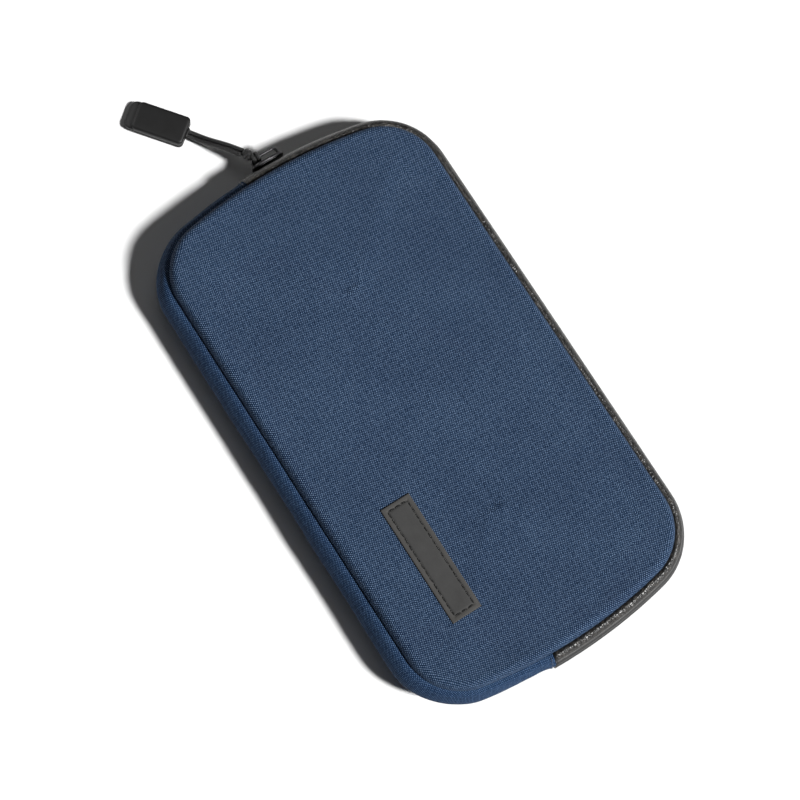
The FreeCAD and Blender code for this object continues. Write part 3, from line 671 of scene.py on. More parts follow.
def tube_rings(line, radius, sides=14, up=UP, looped=False):
    """Rings of points round a line, and their cloth coordinates."""
    rings, coords = [], []
    run = 0.0
    last = len(line) - 1
    for i, point in enumerate(line):
        if looped:
            before, after = line[i - 1], line[(i + 1) % len(line)]
        else:
            before, after = line[max(i - 1, 0)], line[min(i + 1, last)]
        along = (after - before).normalized()
        side = along.cross(up).normalized()
        high = side.cross(along)
        run += (point - line[i - 1]).length if i else 0
        angles = round_angles(sides)
        rings.append([point + side * (radius * math.cos(a)) + high * (radius * math.sin(a))
                      for a in angles])
        coords.append([Vector((run, radius * a, 0)) for a in angles])
    return rings, coords


def make_cord():
    """Two strands side by side, each following the same smooth line."""
    line = smooth_line([Vector(p) * MM for p in CORD_ROUTE])
    along = line[-1] - line[0]
    sideways = Vector((along.y, -along.x, 0)).normalized() * (STRAND_SPACING / 2)
    strands = [tube_rings([p + sideways * side for p in line], CORD_DIAMETER / 2)
               for side in (-1, 1)]
    cord = place(loft_parts("pull_cord_strands", strands), "pull", CORD, "cord", "pull_cord")
    length = sum((b - a).length for a, b in zip(line, line[1:]))
    return cord, line, length


cord, cord_line, cord_length = make_cord()


# ---- panels and layers

INWARD_Y = 0.86  # a rim point's Y shrinks by this on its way to the middle line


def plan_rings(inset_steps, inner_rings):
    """Closed rings of plan points from the seam line inwards, down to a line along the middle.

    Each ring is a list of (point, inset, outward normal of the seam line).
    """
    spots = [seam_at(s) for s in seam_steps()]
    rings = [[(p - n * inset, inset, n) for p, n in spots] for inset in inset_steps]
    spine_half = SEAM_Y - SEAM_X
    edge = rings[-1]
    depth = SEAM_X - inset_steps[-1]
    for i in range(1, inner_rings + 1):
        t = i / inner_rings
        ring = []
        for point, inset, normal in edge:
            middle = Vector((0, max(-spine_half, min(spine_half, point.y * INWARD_Y))))
            ring.append((point.lerp(middle, t), inset + depth * t, normal))
        rings.append(ring)
    return rings


def cloth_coords(rings, heights, edge_rings):
    """Where each point lies on the flat cloth, so that the weave isn't stretched on the rim."""
    coords = [[Vector((p.x, p.y, 0)) for p, _, _ in ring] for ring in rings]
    for k in range(len(rings[0])):
        extra = 0.0
        for i in reversed(range(edge_rings - 1)):
            across = rings[i + 1][k][1] - rings[i][k][1]
            drop = heights[i + 1][k] - heights[i][k]
            extra += math.hypot(across, drop) - across
            normal = rings[i][k][2]
            coords[i][k] += Vector((normal.x, normal.y, 0)) * extra
    return coords


def sheet_over(name, rings, height, edge_rings):
    """An open sheet over the plan: height gives z from a plan point and its inset."""
    heights = [[height(p, inset) for p, inset, _ in ring] for ring in rings]
    points = [Vector((p.x, p.y, z)) for ring, level in zip(rings, heights)
              for (p, _, _), z in zip(ring, level)]
    coords = [c for ring in cloth_coords(rings, heights, edge_rings) for c in ring]
    faces = ring_faces(len(rings), len(rings[0]), False, False)
    return welded(mesh_object(name, points, faces, coords), 0.01 * MM)


def plan_area(inset):
    """Area inside the seam line, less an inset all round, in square metres."""
    points = [p - n * inset for p, n in map(seam_at, seam_steps())]
    return abs(sum(a.cross(b) for a, b in zip(points, points[1:] + points[:1]))) / 2


def declare_panel(obj, inset, *rests_on):
    """Work out the plan area inside the case's outline, less an inset all round; the result is
    not kept.
    """
    plan_area(inset)


CLOTH_THICK = 1.1 * MM


def thicken(obj):
    """Give a sheet its thickness, on its inner side."""
    solid = obj.modifiers.new("thickness", "SOLIDIFY")
    solid.thickness = CLOTH_THICK
    solid.offset = -1
    solid.use_even_offset = False
    return applied(obj)


# Insets of the outer rings, close together where the cloth turns down to its seam.
EDGE_STEPS = [step * MM for step in (0.8, 0.82, 0.88, 1.0, 1.3, 1.7, 2.2, 2.8, 3.4, 4.1, 5.0,
                                     6.0, 7.5, 9.5, 12.0, 15.0)]
INNER_RINGS = 12
ROUNDING = 2.4 * MM
TUCK = 1.0 * MM
CROWN_RISE = 0.9 * MM
CROWN_WIDTH = 32 * MM


def pucker(point, inset):
    """Small gathers where the cloth is pulled into the seam, fading inwards."""
    fade = math.exp(-inset / (3.2 * MM))
    around = noise.noise(Vector((point.x, point.y, 0)) * 260)
    return 0.16 * MM * around * fade


def softness(point):
    """Slow waves of padded cloth."""
    slow = noise.noise(Vector((point.x, point.y, 0.31)) * 22)
    wide = noise.noise(Vector((point.x, point.y, 0.77)) * 55)
    return 0.24 * MM * slow + 0.08 * MM * wide


def crown(inset):
    """How far the cloth stands above its seam: a rounded edge, then nearly flat."""
    return rounded(inset - EDGE_STEPS[0], ROUNDING)


def front_height(point, inset):
    """Height of the front panel's cloth."""
    lift = TOP - FRONT_SEAM - 0.7 * MM
    slow = 1 - (1 - min(inset / CROWN_WIDTH, 1)) ** 2
    z = FRONT_SEAM - TUCK + (lift + TUCK) * crown(inset) + CROWN_RISE * slow
    return z + pucker(point, inset) + softness(point) * min(inset / (12 * MM), 1)


def back_height(point, inset):
    """Height of the back panel's cloth, which lies flat on the table inside its rim."""
    z = (BACK_SEAM + TUCK) * (1 - crown(inset))
    return max(z, 0) + abs(pucker(point, inset))


CLOTH_SETTINGS = {
    "vertex_group_mass": "seam", "quality": 6, "mass": 0.3, "tension_stiffness": 40,
    "compression_stiffness": 20, "shear_stiffness": 20, "bending_stiffness": 6,
    "use_pressure": True,
}
CLOTH_FRAMES = 20


def vertex_group(obj, name, indices):
    """A named group of vertices at full weight."""
    obj.vertex_groups.new(name=name).add(indices, 1.0, "REPLACE")


def swell(obj, pressure, cap):
    """Inflate a sheet as cloth with its edge sewn down, keep the shape and smooth its middle.

    No point moves further than cap.
    """
    vertices = obj.data.vertices
    vertex_group(obj, "seam", [v.index for v in vertices if v.co.z < FRONT_SEAM + 0.4 * MM])
    before = [v.co.copy() for v in vertices]
    cloth = obj.modifiers.new("cloth", "CLOTH")
    for key, value in CLOTH_SETTINGS.items():
        setattr(cloth.settings, key, value)
    cloth.settings.uniform_pressure_force = pressure
    cloth.settings.effector_weights.gravity = 0
    scene = bpy.context.scene
    for frame_number in range(1, CLOTH_FRAMES + 1):
        scene.frame_set(frame_number)
    mesh = evaluated_mesh(obj)
    obj.modifiers.clear()
    for vertex, start in zip(mesh.vertices, before):
        move = vertex.co - start
        if move.length > cap:
            move = move.normalized() * cap
        vertex.co = start + move
    obj.data = mesh
    scene.frame_set(1)
    rim = 2 * CROWN_WIDTH / 3
    vertex_group(obj, "middle", [v.index for v in mesh.vertices
                                 if abs(v.co.x) < SEAM_X - rim and abs(v.co.y) < SEAM_Y - rim])
    ease = obj.modifiers.new("ease", "SMOOTH")
    ease.use_x = ease.use_y = False
    ease.iterations = 12
    ease.vertex_group = "middle"
    applied(obj)


def make_front():
    """The front panel's cloth: one sheet, swelled by its padding."""
    rings = plan_rings(EDGE_STEPS, INNER_RINGS)
    shell = sheet_over("front_shell", rings, front_height, len(EDGE_STEPS))
    swell(shell, 1.2, 0.8 * MM)
    finer = shell.modifiers.new("finer", "SUBSURF")
    finer.levels = finer.render_levels = 1
    thicken(applied(shell))
    place(shell, BENDING, NAVY, "navy_fabric", "spine_front_panel", "cover_panel")
    declare_panel(shell, FRONT_SEAM - TOP, "cover_foam")
    return shell


def layer(name, inset, low, high):
    """A soft flat layer with rounded edges, filling a height range."""
    half = (high - low) / 2
    middle = (high + low) / 2
    insets = [inset + half * (1 - math.sin(a)) for a in (0, 0.5, 1.0, QUARTER)]
    insets = sorted(set(insets)) + [inset + 4 * MM, inset + 12 * MM]
    rings = plan_rings(insets, 6)

    def top(distance):
        return middle + half * rounded(distance - inset, half)

    upper = [[Vector((p.x, p.y, top(d))) for p, d, _ in ring] for ring in rings]
    lower = [[Vector((p.x, p.y, 2 * middle - p.z)) for p in ring] for ring in upper]
    return welded(loft(name, lower[::-1] + upper), 0.02 * MM)


def make_layers():
    """Foam and lining of both panels."""
    for side, halves in (("back", ["back"]), ("front", ["spine_front", "cover"])):
        foams = [half + "_foam" for half in halves]
        linings = [half + "_lining" for half in halves]
        low, high = box_of(foams[0])
        padding = layer(side + "_padding", 1.5 * MM, low.z, high.z)
        place(padding, SIDE_BODIES[side], FOAM, "padding", *foams)
        inset = 1.7 * MM
        low, high = box_of(linings[0])
        lining = layer(side + "_lining_sheet", inset, low.z, high.z)
        place(lining, SIDE_BODIES[side], LINING, "lining_fabric", *linings)
        declare_panel(lining, inset, *foams)


def make_back():
    """The back panel's cloth."""
    rings = plan_rings(EDGE_STEPS, INNER_RINGS)
    shell = sheet_over("back_shell", rings, back_height, len(EDGE_STEPS))
    place(thicken(shell), "case", NAVY, "navy_fabric", "back_panel")
    declare_panel(shell, -BACK_SEAM, "back_foam")


# ---- side bands

def band_point(s, angle, radius):
    """A point of a side band: angle is measured from the zip line, up or down."""
    return beside_seam(s, BAND_N + radius * math.cos(angle), MID + radius * math.sin(angle))


def band(name, first, last, low, high, inner, outer, step=1.6 * MM, count=12):
    """A curved strip along the seam. inner and outer are radii, or functions of s and angle."""
    rings, coords = [], []
    angles = steps(low, high, (high - low) / count)
    for s in steps(first, last, step):
        ring, flat = [], []
        for radius, order in ((outer, angles), (inner, angles[::-1])):
            for angle in order:
                r = radius(s, angle) if callable(radius) else radius
                ring.append(band_point(s, angle, r))
                flat.append(Vector((s, BAND_R * angle, 0)))
        rings.append(ring)
        coords.append(flat)
    return loft(name, rings, coords)


SEAM_ANGLE = math.asin(RISE / BAND_R)
BAND_THICK = 1.0 * MM
INNER_R = BAND_R - BAND_THICK
END_GAP = 0.1 * MM  # between a band's end and the end of the zip


def rise_angle(height):
    """The band angle at a height above the zip line."""
    return math.asin(height / BAND_R)


def soft_band(s, angle):
    """The gusset: pulled in at both seams, fullest along the spine, with slow waves."""
    edge = (SEAM_ANGLE - abs(angle)) * BAND_R
    pull = 1.5 * MM * math.exp(-edge / (1.3 * MM))
    ridge = 0.25 * MM * ridge_at(edge, 3.2 * MM, 1.1 * MM)
    wave = noise.noise(Vector((s * 45, angle * 1.1, 3.1)))
    crease = noise.noise(Vector((s * 210, angle * 2.0, 5.7)))
    along_spine = max(0, -seam_at(s)[1].x) ** 6
    full = (1.9 * along_spine - 1.1) * MM * math.cos(QUARTER * angle / SEAM_ANGLE)
    return BAND_R - pull + ridge + full + 0.38 * MM * wave + 0.10 * MM * crease


def gusset_inside(s, angle):
    """The gusset's inner face."""
    return soft_band(s, angle) - BAND_THICK


def make_gusset():
    """One strip of cloth round the spine side, from one end of the zip to the other."""
    gusset = band("gusset", ZIP_TO + END_GAP, SEAM_LENGTH + ZIP_FROM - END_GAP,
                  -SEAM_ANGLE, SEAM_ANGLE, gusset_inside, soft_band, count=30)
    # The gusset gets the darker copy of the navy weave: painted shade.
    place(gusset, "case", SHADED_SIDE_NAVY, "navy_fabric", "spine_gusset")


TRIM_RISE = box_of("front_trim")[0].z - MID
ZIP_GAP = 0.16 * MM
TAB_LENGTH = 5.5 * MM


def trim_radius(s, angle):
    """Trim strip: a padded strip, proud in its middle and turned in at both edges."""
    low, high = rise_angle(TRIM_RISE), SEAM_ANGLE
    t = (abs(angle) - low) / (high - low)
    puff = math.sin(math.pi * min(max(t, 0), 1)) ** 0.6
    wave = noise.noise(Vector((s * 150, angle, 9.0)))
    tucked = 0.8 + 1.2 * max(0, (t - 0.7) / 0.3) ** 1.5
    return BAND_R + (1.6 * puff - tucked) * MM + 0.07 * MM * wave


def trim_inside(s, angle):
    """The trim's inner face."""
    return min(INNER_R, trim_radius(s, angle) - 0.5 * MM)


def tape_radius(s, angle):
    """Zip tape: a groove beside the trim, and a raised lip along the zip line."""
    edge = abs(angle) * BAND_R
    lip = ridge_at(edge, 1.3 * MM, 0.75 * MM)
    groove = ridge_at(edge, 4.4 * MM, 0.7 * MM)
    return BAND_R + (0.38 * lip - 0.42 * groove) * MM


def make_zip_side():
    """Trim and tape on both sides of the zip line."""
    spans = (
        ("trim", trim_inside, trim_radius, TRIM_RISE, RISE, LEATHER, "trim_leather"),
        ("zip_tape", INNER_R, tape_radius, ZIP_GAP, TRIM_RISE, TAPE, "zip_tape"))
    for side, sign in SIDE_SIGNS.items():
        for part, inner, outer, near, far, material, slot in spans:
            low, high = sorted((sign * rise_angle(near), sign * rise_angle(far)))
            node = side + "_" + part
            obj = band(node + "_strip", ZIP_FROM + END_GAP, ZIP_TO - END_GAP, low, high,
                       inner, outer, count=20)
            place(obj, SIDE_BODIES[side], material, slot, node)


# ---- zip: coils, ends, stops

COIL_PITCH = 1.5 * MM
COIL_WIRE = 0.27 * MM
COIL_SIDES = 14  # points in one turn


def coil_line(sign, phase):
    """The turns of one coil row: long loops that reach just past the zip line."""
    first, last = ZIP_FROM + 2.5 * MM, ZIP_TO - 2.5 * MM
    low, high = -0.35 * MM, 3.0 * MM
    outer = INNER_R - 0.35 * MM
    turns = int((last - first) / COIL_PITCH)
    line = []
    for i in range(turns * COIL_SIDES):
        t = i / COIL_SIDES
        angle = 2 * math.pi * t
        rise = (low + high) / 2 + (high - low) / 2 * math.sin(angle)
        depth = 0.5 * MM * (1 - math.cos(angle)) * (1 + 0.25 * math.cos(angle))
        s = first + (t + phase) * COIL_PITCH
        line.append(beside_seam(s, BAND_N + outer - depth, MID + sign * rise))
    return line


def make_coils():
    """Both rows of coils, half a turn out of step so that they mesh."""
    for side, phase in (("front", 0.0), ("back", 0.5)):
        node = side + "_zip_coil"
        line = coil_line(SIDE_SIGNS[side], phase)
        obj = loft(node + "_turns", *tube_rings(line, COIL_WIRE, 6))
        place(obj, SIDE_BODIES[side], COIL, "zip_coil", node)


def stitches(name, spots, length=2.0 * MM, width=0.55 * MM):
    """Short threads, each a little aslant, that dip into the cloth at both ends.

    spots are the middle, the direction and the outward normal of each stitch.
    """
    cuts, sides = 6, 8
    coords = [[Vector((i * length / cuts, k * width / 4, 0)) for k in range(sides)]
              for i in range(cuts + 1)]
    parts = []
    for middle, along, up in spots:
        slant = 0.3 * noise.noise(middle * 900)
        along = (along + along.cross(up) * slant).normalized()
        side = along.cross(up).normalized()
        rings = []
        for i in range(cuts + 1):
            t = i / cuts
            arch = math.sin(math.pi * (0.1 + 0.8 * t))
            centre = middle + along * (length * (t - 0.5)) + up * (width * (0.5 * arch - 0.25))
            radius = width / 2 * (0.55 + 0.45 * arch)
            rings.append([centre + side * (radius * math.cos(a)) + up * (radius * math.sin(a))
                          for a in round_angles(sides)])
        parts.append((rings, coords))
    return loft_parts(name, parts)


def stitch_row(points, along, height):
    """Stitch places at plan points on a surface, all in one direction."""
    return [(Vector((x, y, height(x, y))), along, UP) for x, y in points]


END_TAB_RISE = RISE - 0.2 * MM


def end_tab_radius(s, angle, folded, plain, proud):
    """The folded end of the gusset: proud and rounded at the zip, fading away from it."""
    t = (s - plain) / (folded - plain)
    fold = rounded((1 - t) * abs(folded - plain), 0.8 * MM)
    height = proud * min(1, t * 1.1) ** 1.5 * fold
    edge = max(0, (SEAM_ANGLE - abs(angle)) * BAND_R)
    height *= min(1, edge / (1.2 * MM)) ** 0.5
    return soft_band(s, angle) + 0.04 * MM + height


def make_end_tabs():
    """The folded fabric tab over each end of the zip, with its row of stitches."""
    for name, folded, sign, proud in (
            ("top_end_tab", ZIP_FROM + 0.6 * MM, -1, 0.35 * MM),
            ("bottom_end_tab", ZIP_TO - 0.6 * MM, 1, 0.8 * MM)):
        plain = folded + sign * (TAB_LENGTH + 1.2 * MM)
        angle = rise_angle(END_TAB_RISE)

        def outer(s, a, ends=(folded, plain, proud)):
            return end_tab_radius(s, a, *ends)

        def inner(s, a):
            return soft_band(s, a) - 0.35 * MM

        obj = band(name + "_fold", folded, plain, -angle, angle, inner, outer,
                   step=0.3 * MM, count=26)
        # The end tabs get the darker copy of the navy weave too: painted shade.
        place(obj, "case", SHADED_SIDE_NAVY, "navy_fabric", name)
        row = []
        s = folded + sign * 1.9 * MM
        for a in steps(-0.78 * angle, 0.78 * angle, 2.6 * MM / BAND_R):
            middle = band_point(s, a, outer(s, a))
            along = band_point(s, a + 0.02, BAND_R) - band_point(s, a - 0.02, BAND_R)
            up = middle - band_point(s, a, 0)
            row.append((middle, along.normalized(), up.normalized()))
        thread = stitches(name + "_stitches", row, 1.7 * MM, 0.45 * MM)
        place(thread, "case", NAVY_THREAD, "navy_fabric")


def make_bindings():
    """Binding tape folded over the raw edges of each seam, inside the case."""
    near, far = 0.6 * MM, 1.4 * MM
    for side, nodes in (("back", ["back_binding"]),
                        ("front", ["spine_front_binding", "cover_binding"])):
        low, high = box_of(nodes[0])
        half_z = (high.z - low.z) / 2
        middle_z = (high.z + low.z) / 2
        rings, coords = [], []
        for s in seam_steps():
            ring, flat = [], []
            wave = 0.08 * MM * noise.noise(Vector((s * 300, 0, 4)))
            for a in round_angles(12):
                across, rise = squared(a, 0.6, 0.6)
                inset = (near + far) / 2 + (far - near) / 2 * across
                z = middle_z + (half_z + wave) * rise
                ring.append(beside_seam(s, -inset, z))
                flat.append(Vector((s, a * 0.7 * MM, 0)))
            rings.append(ring)
            coords.append(flat)
        obj = loft(side + "_binding_tape", rings, coords, looped=True)
        place(obj, SIDE_BODIES[side], BINDING, "binding_tape", *nodes)


def make_stops():
    """Metal stops: a strip bent into a U over the last turns."""
    wall = 0.35 * MM
    for node in ("top_zip_stop", "bottom_zip_stop"):
        low, high = box_of(node)
        middle = (low + high) / 2
        half = (high - low) / 2
        outline = []
        for radius, turns in ((1.0, 1), (1.0 - wall / half.y, -1)):
            for k in range(9)[::turns]:
                a = -QUARTER + math.pi * k / 8
                outline.append((radius * half.y * math.cos(a) - half.y * 0.3,
                                radius * half.y * math.sin(a)))
        rings = [[middle + Vector((x * 1.3, y, z)) for x, y in outline]
                 for z in (-half.z, -half.z * 0.8, half.z * 0.8, half.z)]
        place(loft(node + "_clip", rings), "case", METAL, "slider_metal", node)


# ---- inner pockets

HEM = 6.0 * MM


def slab(name, low, high, corner, top, columns=34):
    """A flat sewn piece made of rows across its width. top(x, y) is its thickness."""
    rings = []
    near_ends = [0.03, 0.25, 0.6, 1.2, 2.0, 3.0, 4.5, HEM / MM - 0.3, HEM / MM + 0.3]
    for y in spaced(low.y, high.y, near_ends, near_ends[-1] + 3, 3):
        end = min(y - low.y, high.y - y)
        short = corner - min(end, corner)
        cut = corner - math.sqrt(corner ** 2 - short ** 2)
        spread = [0.5 - 0.5 * math.cos(math.pi * k / columns) for k in range(columns + 1)]
        left, right = low.x + cut, high.x - cut
        xs = [left + (right - left) * (0.6 * t + 0.4 * k / columns)
              for k, t in enumerate(spread)]
        upper = [Vector((x, y, low.z + top(x, y))) for x in xs]
        lower = [Vector((x, y, low.z)) for x in reversed(xs)]
        rings.append(upper + lower)
    return loft(name, rings)


def pocket_stitches(low, high, height):
    """Places for stitches round a pocket's two long sides and closed end, and along its hem."""
    inset, gap = 1.3 * MM, 2.8 * MM
    spots = []
    for x in (low.x + inset, high.x - inset):
        ys = steps(low.y + 3 * MM, high.y - 2 * MM, gap)
        spots += stitch_row([(x, y) for y in ys], ALONG_Y, height)
    for y, end in ((low.y + inset, 3 * MM), (high.y - HEM + 1.1 * MM, 2.5 * MM)):
        xs = steps(low.x + end, high.x - end, gap)
        spots += stitch_row([(x, y) for x in xs], ALONG_X, height)
    return spots


def make_pocket(node, material, seed):
    """A flat sewn pocket with a folded hem at its open end."""
    low, high = box_of(node)
    body = (high.z - low.z) * 0.72

    def top(x, y):
        edge = rim_distance(x, y, low, high)
        in_hem = 1 if high.y - y < HEM else 0
        inside = min(1, edge / (10 * MM))
        wave = noise.noise(Vector((x * 40, y * 40, seed))) * 0.12 * MM * inside
        sewn = -0.12 * MM * ridge_at(edge, 1.3 * MM, 0.5 * MM)
        thick = body + in_hem * 0.3 * MM + wave + sewn
        return max(0.15 * MM, thick * max(math.sqrt(0.02), rounded(edge, 0.5 * MM)))

    obj = slab(node + "_cloth", low, high, 3 * MM, top)
    place(obj, "case", material, "lining_fabric", node)

    def height(x, y):
        return low.z + top(x, y)

    thread = stitches(node + "_stitches", pocket_stitches(low, high, height), 2.0 * MM,
                      0.32 * MM)
    place(thread, "case", THREAD, "lining_fabric")


def make_pockets():
    """The sleeve and the pockets, each lying on the one before it."""
    for seed, (node, below) in enumerate((
            ("document_sleeve", "back_lining"), ("passport_pocket", "document_sleeve"),
            ("card_pocket_rear", "passport_pocket"), ("card_pocket_middle", "card_pocket_rear"),
            ("card_pocket_front", "card_pocket_middle"))):
        make_pocket(node, POCKET if seed % 2 else LINING, seed * 3.7)


def make_pen_loop():
    """A ribbed elastic tube, sewn flat along its foot."""
    low, high = box_of("pen_loop")
    radius = (high.x - low.x) / 2
    wall = 0.6 * MM
    centre = Vector(((low.x + high.x) / 2, 0, low.z + radius))
    ys = steps(low.y, high.y, 0.5 * MM)
    rings, coords = [], []
    for a in round_angles(48):
        out = Vector((math.sin(a), 0, math.cos(a)))
        ring, flat = [], []
        for shell, order in ((1, ys), (0, ys[::-1])):
            for y in order:
                rib = 0.1 * MM * math.cos(2 * math.pi * (y - low.y) / (1.5 * MM)) - 0.1 * MM
                r = radius + rib if shell else radius - wall
                point = centre + out * r
                point.z = max(point.z, low.z + 0.1 * MM * shell + wall * 0.7 * (1 - shell))
                ring.append(Vector((point.x, y, point.z)))
                flat.append(Vector((radius * a, y, 0)))
        rings.append(ring)
        coords.append(flat)
    obj = loft("pen_loop_elastic", rings, coords, looped=True)
    place(obj, "case", ELASTIC, "elastic", "pen_loop")
    row = [(centre.x, y) for y in steps(low.y + 2 * MM, high.y - 2 * MM, 2.8 * MM)]
    spots = stitch_row(row, ALONG_Y, lambda x, y: low.z + wall * 0.7)
    place(stitches("pen_loop_stitches", spots, 2.0 * MM, 0.35 * MM), "case", THREAD, "elastic")


NET_CELL = 1.9 * MM


def make_net():
    """A net of diamonds, with a taped edge on its three sewn sides."""
    low, high = box_of("mesh_pocket")
    hem_low, hem_high = box_of("mesh_pocket_hem")
    margin = 1.5 * MM
    across = int((high.x - low.x - 2 * margin) / NET_CELL)
    along = int((high.y - low.y - 2 * margin) / NET_CELL)
    z = (low.z + high.z) / 2

    def knot(i, j):
        x = low.x + margin + (high.x - low.x - 2 * margin) * i / across
        y = low.y + margin + (high.y - low.y - 2 * margin) * j / along
        sag = 0.25 * MM * noise.noise(Vector((x * 30, y * 30, 8)))
        return Vector((x, y, z + sag))

    lattice = {(i, j): knot(i, j) for i in range(across + 1) for j in range(along + 1)
               if (i + j) % 2}
    index = {key: k for k, key in enumerate(lattice)}
    faces = [tuple(index[key] for key in ((i - 1, j), (i, j - 1), (i + 1, j), (i, j + 1)))
             for i in range(1, across) for j in range(1, along) if (i + j) % 2 == 0]
    net = mesh_object("mesh_pocket_net", list(lattice.values()), faces)
    wires = net.modifiers.new("wires", "WIREFRAME")
    wires.thickness = 0.42 * MM
    wires.use_even_offset = False
    place(applied(net), BENDING, NET, "mesh", "mesh_pocket")
    width = margin + 0.8 * MM
    inner_x = high.x - width
    for name, first, last in (
            ("mesh_pocket_side_tape", (inner_x, low.y), (high.x, high.y)),
            ("mesh_pocket_lower_tape", (low.x, low.y), (inner_x, low.y + width)),
            ("mesh_pocket_upper_tape", (low.x, high.y - width), (inner_x, high.y))):
        tape = ribbed_strip(name, Vector((*first, low.z)), Vector((*last, high.z)))
        place(tape, BENDING, BINDING, "mesh")
    hem = ribbed_strip("mesh_pocket_hem_elastic", hem_low, hem_high)
    place(hem, BENDING, ELASTIC, "elastic", "mesh_pocket_hem")


def ribbed_strip(name, low, high):
    """A flat tape with rounded edges and fine ribs along its longer side."""
    size = high - low
    lengthwise = size.y > size.x
    length, width = (size.y, size.x) if lengthwise else (size.x, size.y)
    middle = (low + high) / 2
    rings = []
    for s in steps(-length / 2, length / 2, 1.2 * MM):
        end = min(1, (length / 2 - abs(s)) / (0.6 * MM) + 0.25)
        ring = []
        for a in round_angles(24):
            across, rise = squared(a, 0.5, 0.5)
            w = width / 2 * across
            rib = 1 - 0.12 * math.cos(2 * math.pi * w / (0.9 * MM)) ** 2
            h = size.z / 2 * rise * rib * end
            offset = Vector((w, s, h)) if lengthwise else Vector((s, w, h))
            ring.append(middle + offset)
        rings.append(ring)
    return loft(name, rings)


# ---- label

def surface_finder(obj):
    """A function that gives the height of a piece's upper face at a plan point."""
    above = 0.1
    tree = BVHTree.FromPolygons([v.co.copy() for v in obj.data.vertices],
                                [tuple(p.vertices) for p in obj.data.polygons])

    def height(x, y):
        hit = tree.ray_cast(Vector((x, y, above)), -UP)[0]
        return hit.z if hit else TOP
    return height


def make_label(height):
    """A blank sewn patch that follows the cloth, with a raised rim and a stitched edge."""
    low, high = box_of("label")
    thick = 0.75 * MM

    def top(x, y):
        edge = rim_distance(x, y, low, high)
        groove = -0.25 * MM * ridge_at(edge, LABEL_SEAM, 0.42 * MM)
        return (thick + groove) * (0.35 + 0.65 * rounded(edge, 0.4 * MM))

    # Lines close together round the rim and the stitched groove, then evenly spaced.
    rim_lines = [0.02, 0.12, 0.3, 0.6, 1.0, 1.5, 1.75, 2.0, 2.2, 2.4, 2.65, 2.9, 3.4]
    xs, ys = [spaced(low[axis], high[axis], rim_lines, 4, 1.5) for axis in (0, 1)]
    rings, coords = [], []
    for y in ys:
        upper = [Vector((x, y, height(x, y) + top(x, y))) for x in xs]
        lower = [Vector((x, y, height(x, y) - 0.15 * MM)) for x in reversed(xs)]
        rings.append(upper + lower)
        coords.append([Vector((p.x, p.y, rim_distance(p.x, p.y, low, high)))
                       for p in rings[-1]])
    place(loft("label_patch", rings, coords), "case", LABEL, "label_rubber", "label")

    def on_label(x, y):
        return height(x, y) + top(x, y) + 0.05 * MM

    end, gap = 3.9 * MM, 3.1 * MM
    spots = []
    for x in (low.x + LABEL_SEAM, high.x - LABEL_SEAM):
        column = [(x, y) for y in steps(low.y + end, high.y - end, gap)]
        spots += stitch_row(column, ALONG_Y, on_label)
    for y in (low.y + LABEL_SEAM, high.y - LABEL_SEAM):
        row = [(x, y) for x in steps(low.x + end, high.x - end, gap)]
        spots += stitch_row(row, ALONG_X, on_label)
    place(stitches("label_stitches", spots, 2.5 * MM, 0.6 * MM), "case", THREAD, "label_rubber")


# ---- slider and pull

def rounded_outline(half_width, half_height, corner, sides=6):
    """Points of a rounded rectangle about the origin."""
    points = []
    for quarter, (cx, cy) in enumerate(((1, 1), (-1, 1), (-1, -1), (1, -1))):
        for k in range(sides + 1):
            a = QUARTER * (quarter + k / sides)
            points.append((cx * (half_width - corner) + corner * math.cos(a),
                           cy * (half_height - corner) + corner * math.sin(a)))
    return points


def plate_rings(outline, y_from, y_to, bevel, centre):
    """Rings of a bevelled plate that lies square to Y."""
    out = 1 if y_to > y_from else -1
    depth = abs(y_to - y_from)
    levels = [(0, bevel), (0.3 * bevel, 0.3 * bevel), (bevel, 0), (depth - bevel, 0),
              (depth - 0.3 * bevel, 0.3 * bevel), (depth, bevel)]
    reach = max(abs(x) for x, _ in outline)
    tall = max(abs(z) for _, z in outline)
    rings = []
    for along, inset in levels:
        fx, fz = 1 - inset / reach, 1 - inset / tall
        rings.append([Vector((centre.x + x * fx, y_from + out * along, centre.z + z * fz))
                      for x, z in outline])
    return rings


def slider_outline(half_length, half_height):
    """A slider plate: wide shoulders at the front and a narrower, rounded tail."""
    points = []
    for a in round_angles(40):
        across, rise = squared(a, 0.55, 0.6)
        x = half_length * across
        taper = 1 - 0.24 * max(0, x / half_length) ** 1.5
        points.append((x, half_height * rise * taper))
    return points


def make_slider():
    """Two shaped plates, side flanges, the post between them and the feet of the bail."""
    low, high = box_of("slider_body")
    bail_low, bail_high = box_of("slider_bail")
    half = (high - low) / 2
    centre = (low + high) / 2
    plate = 1.2 * MM
    outline = slider_outline(half.x, half.z)
    post = rounded_outline(1.9 * MM, 0.24 * MM, 0.2 * MM)
    flange = rounded_outline(half.x * 0.55, 0.5 * MM, 0.4 * MM)
    wire = (bail_high.z - bail_low.z) / 2
    foot = rounded_outline(wire * 2.0, wire * 1.9, wire * 0.9)
    shapes = [
        plate_rings(outline, high.y - plate, high.y, 0.35 * MM, centre),
        plate_rings(outline, low.y + plate, low.y, 0.35 * MM, centre),
        plate_rings(post, low.y + plate / 2, high.y - plate / 2, 0.02 * MM,
                    Vector((low.x + 3 * MM, 0, centre.z))),
    ]
    for side in (-1, 1):
        at = Vector((centre.x - 0.5 * MM, 0, centre.z + side * (half.z - 0.6 * MM)))
        inner = high.y - plate
        shapes.append(plate_rings(flange, inner, inner - 0.55 * MM, 0.15 * MM, at))
    for x in (bail_low.x + wire, bail_high.x - wire):
        at = Vector((x, 0, centre.z))
        shapes.append(plate_rings(foot, high.y - 0.2 * MM, high.y + 0.9 * MM, 0.35 * MM, at))
    casting = loft_parts("slider_casting", [(rings, None) for rings in shapes])
    place(casting, "slider", METAL, "slider_metal", "slider_body")


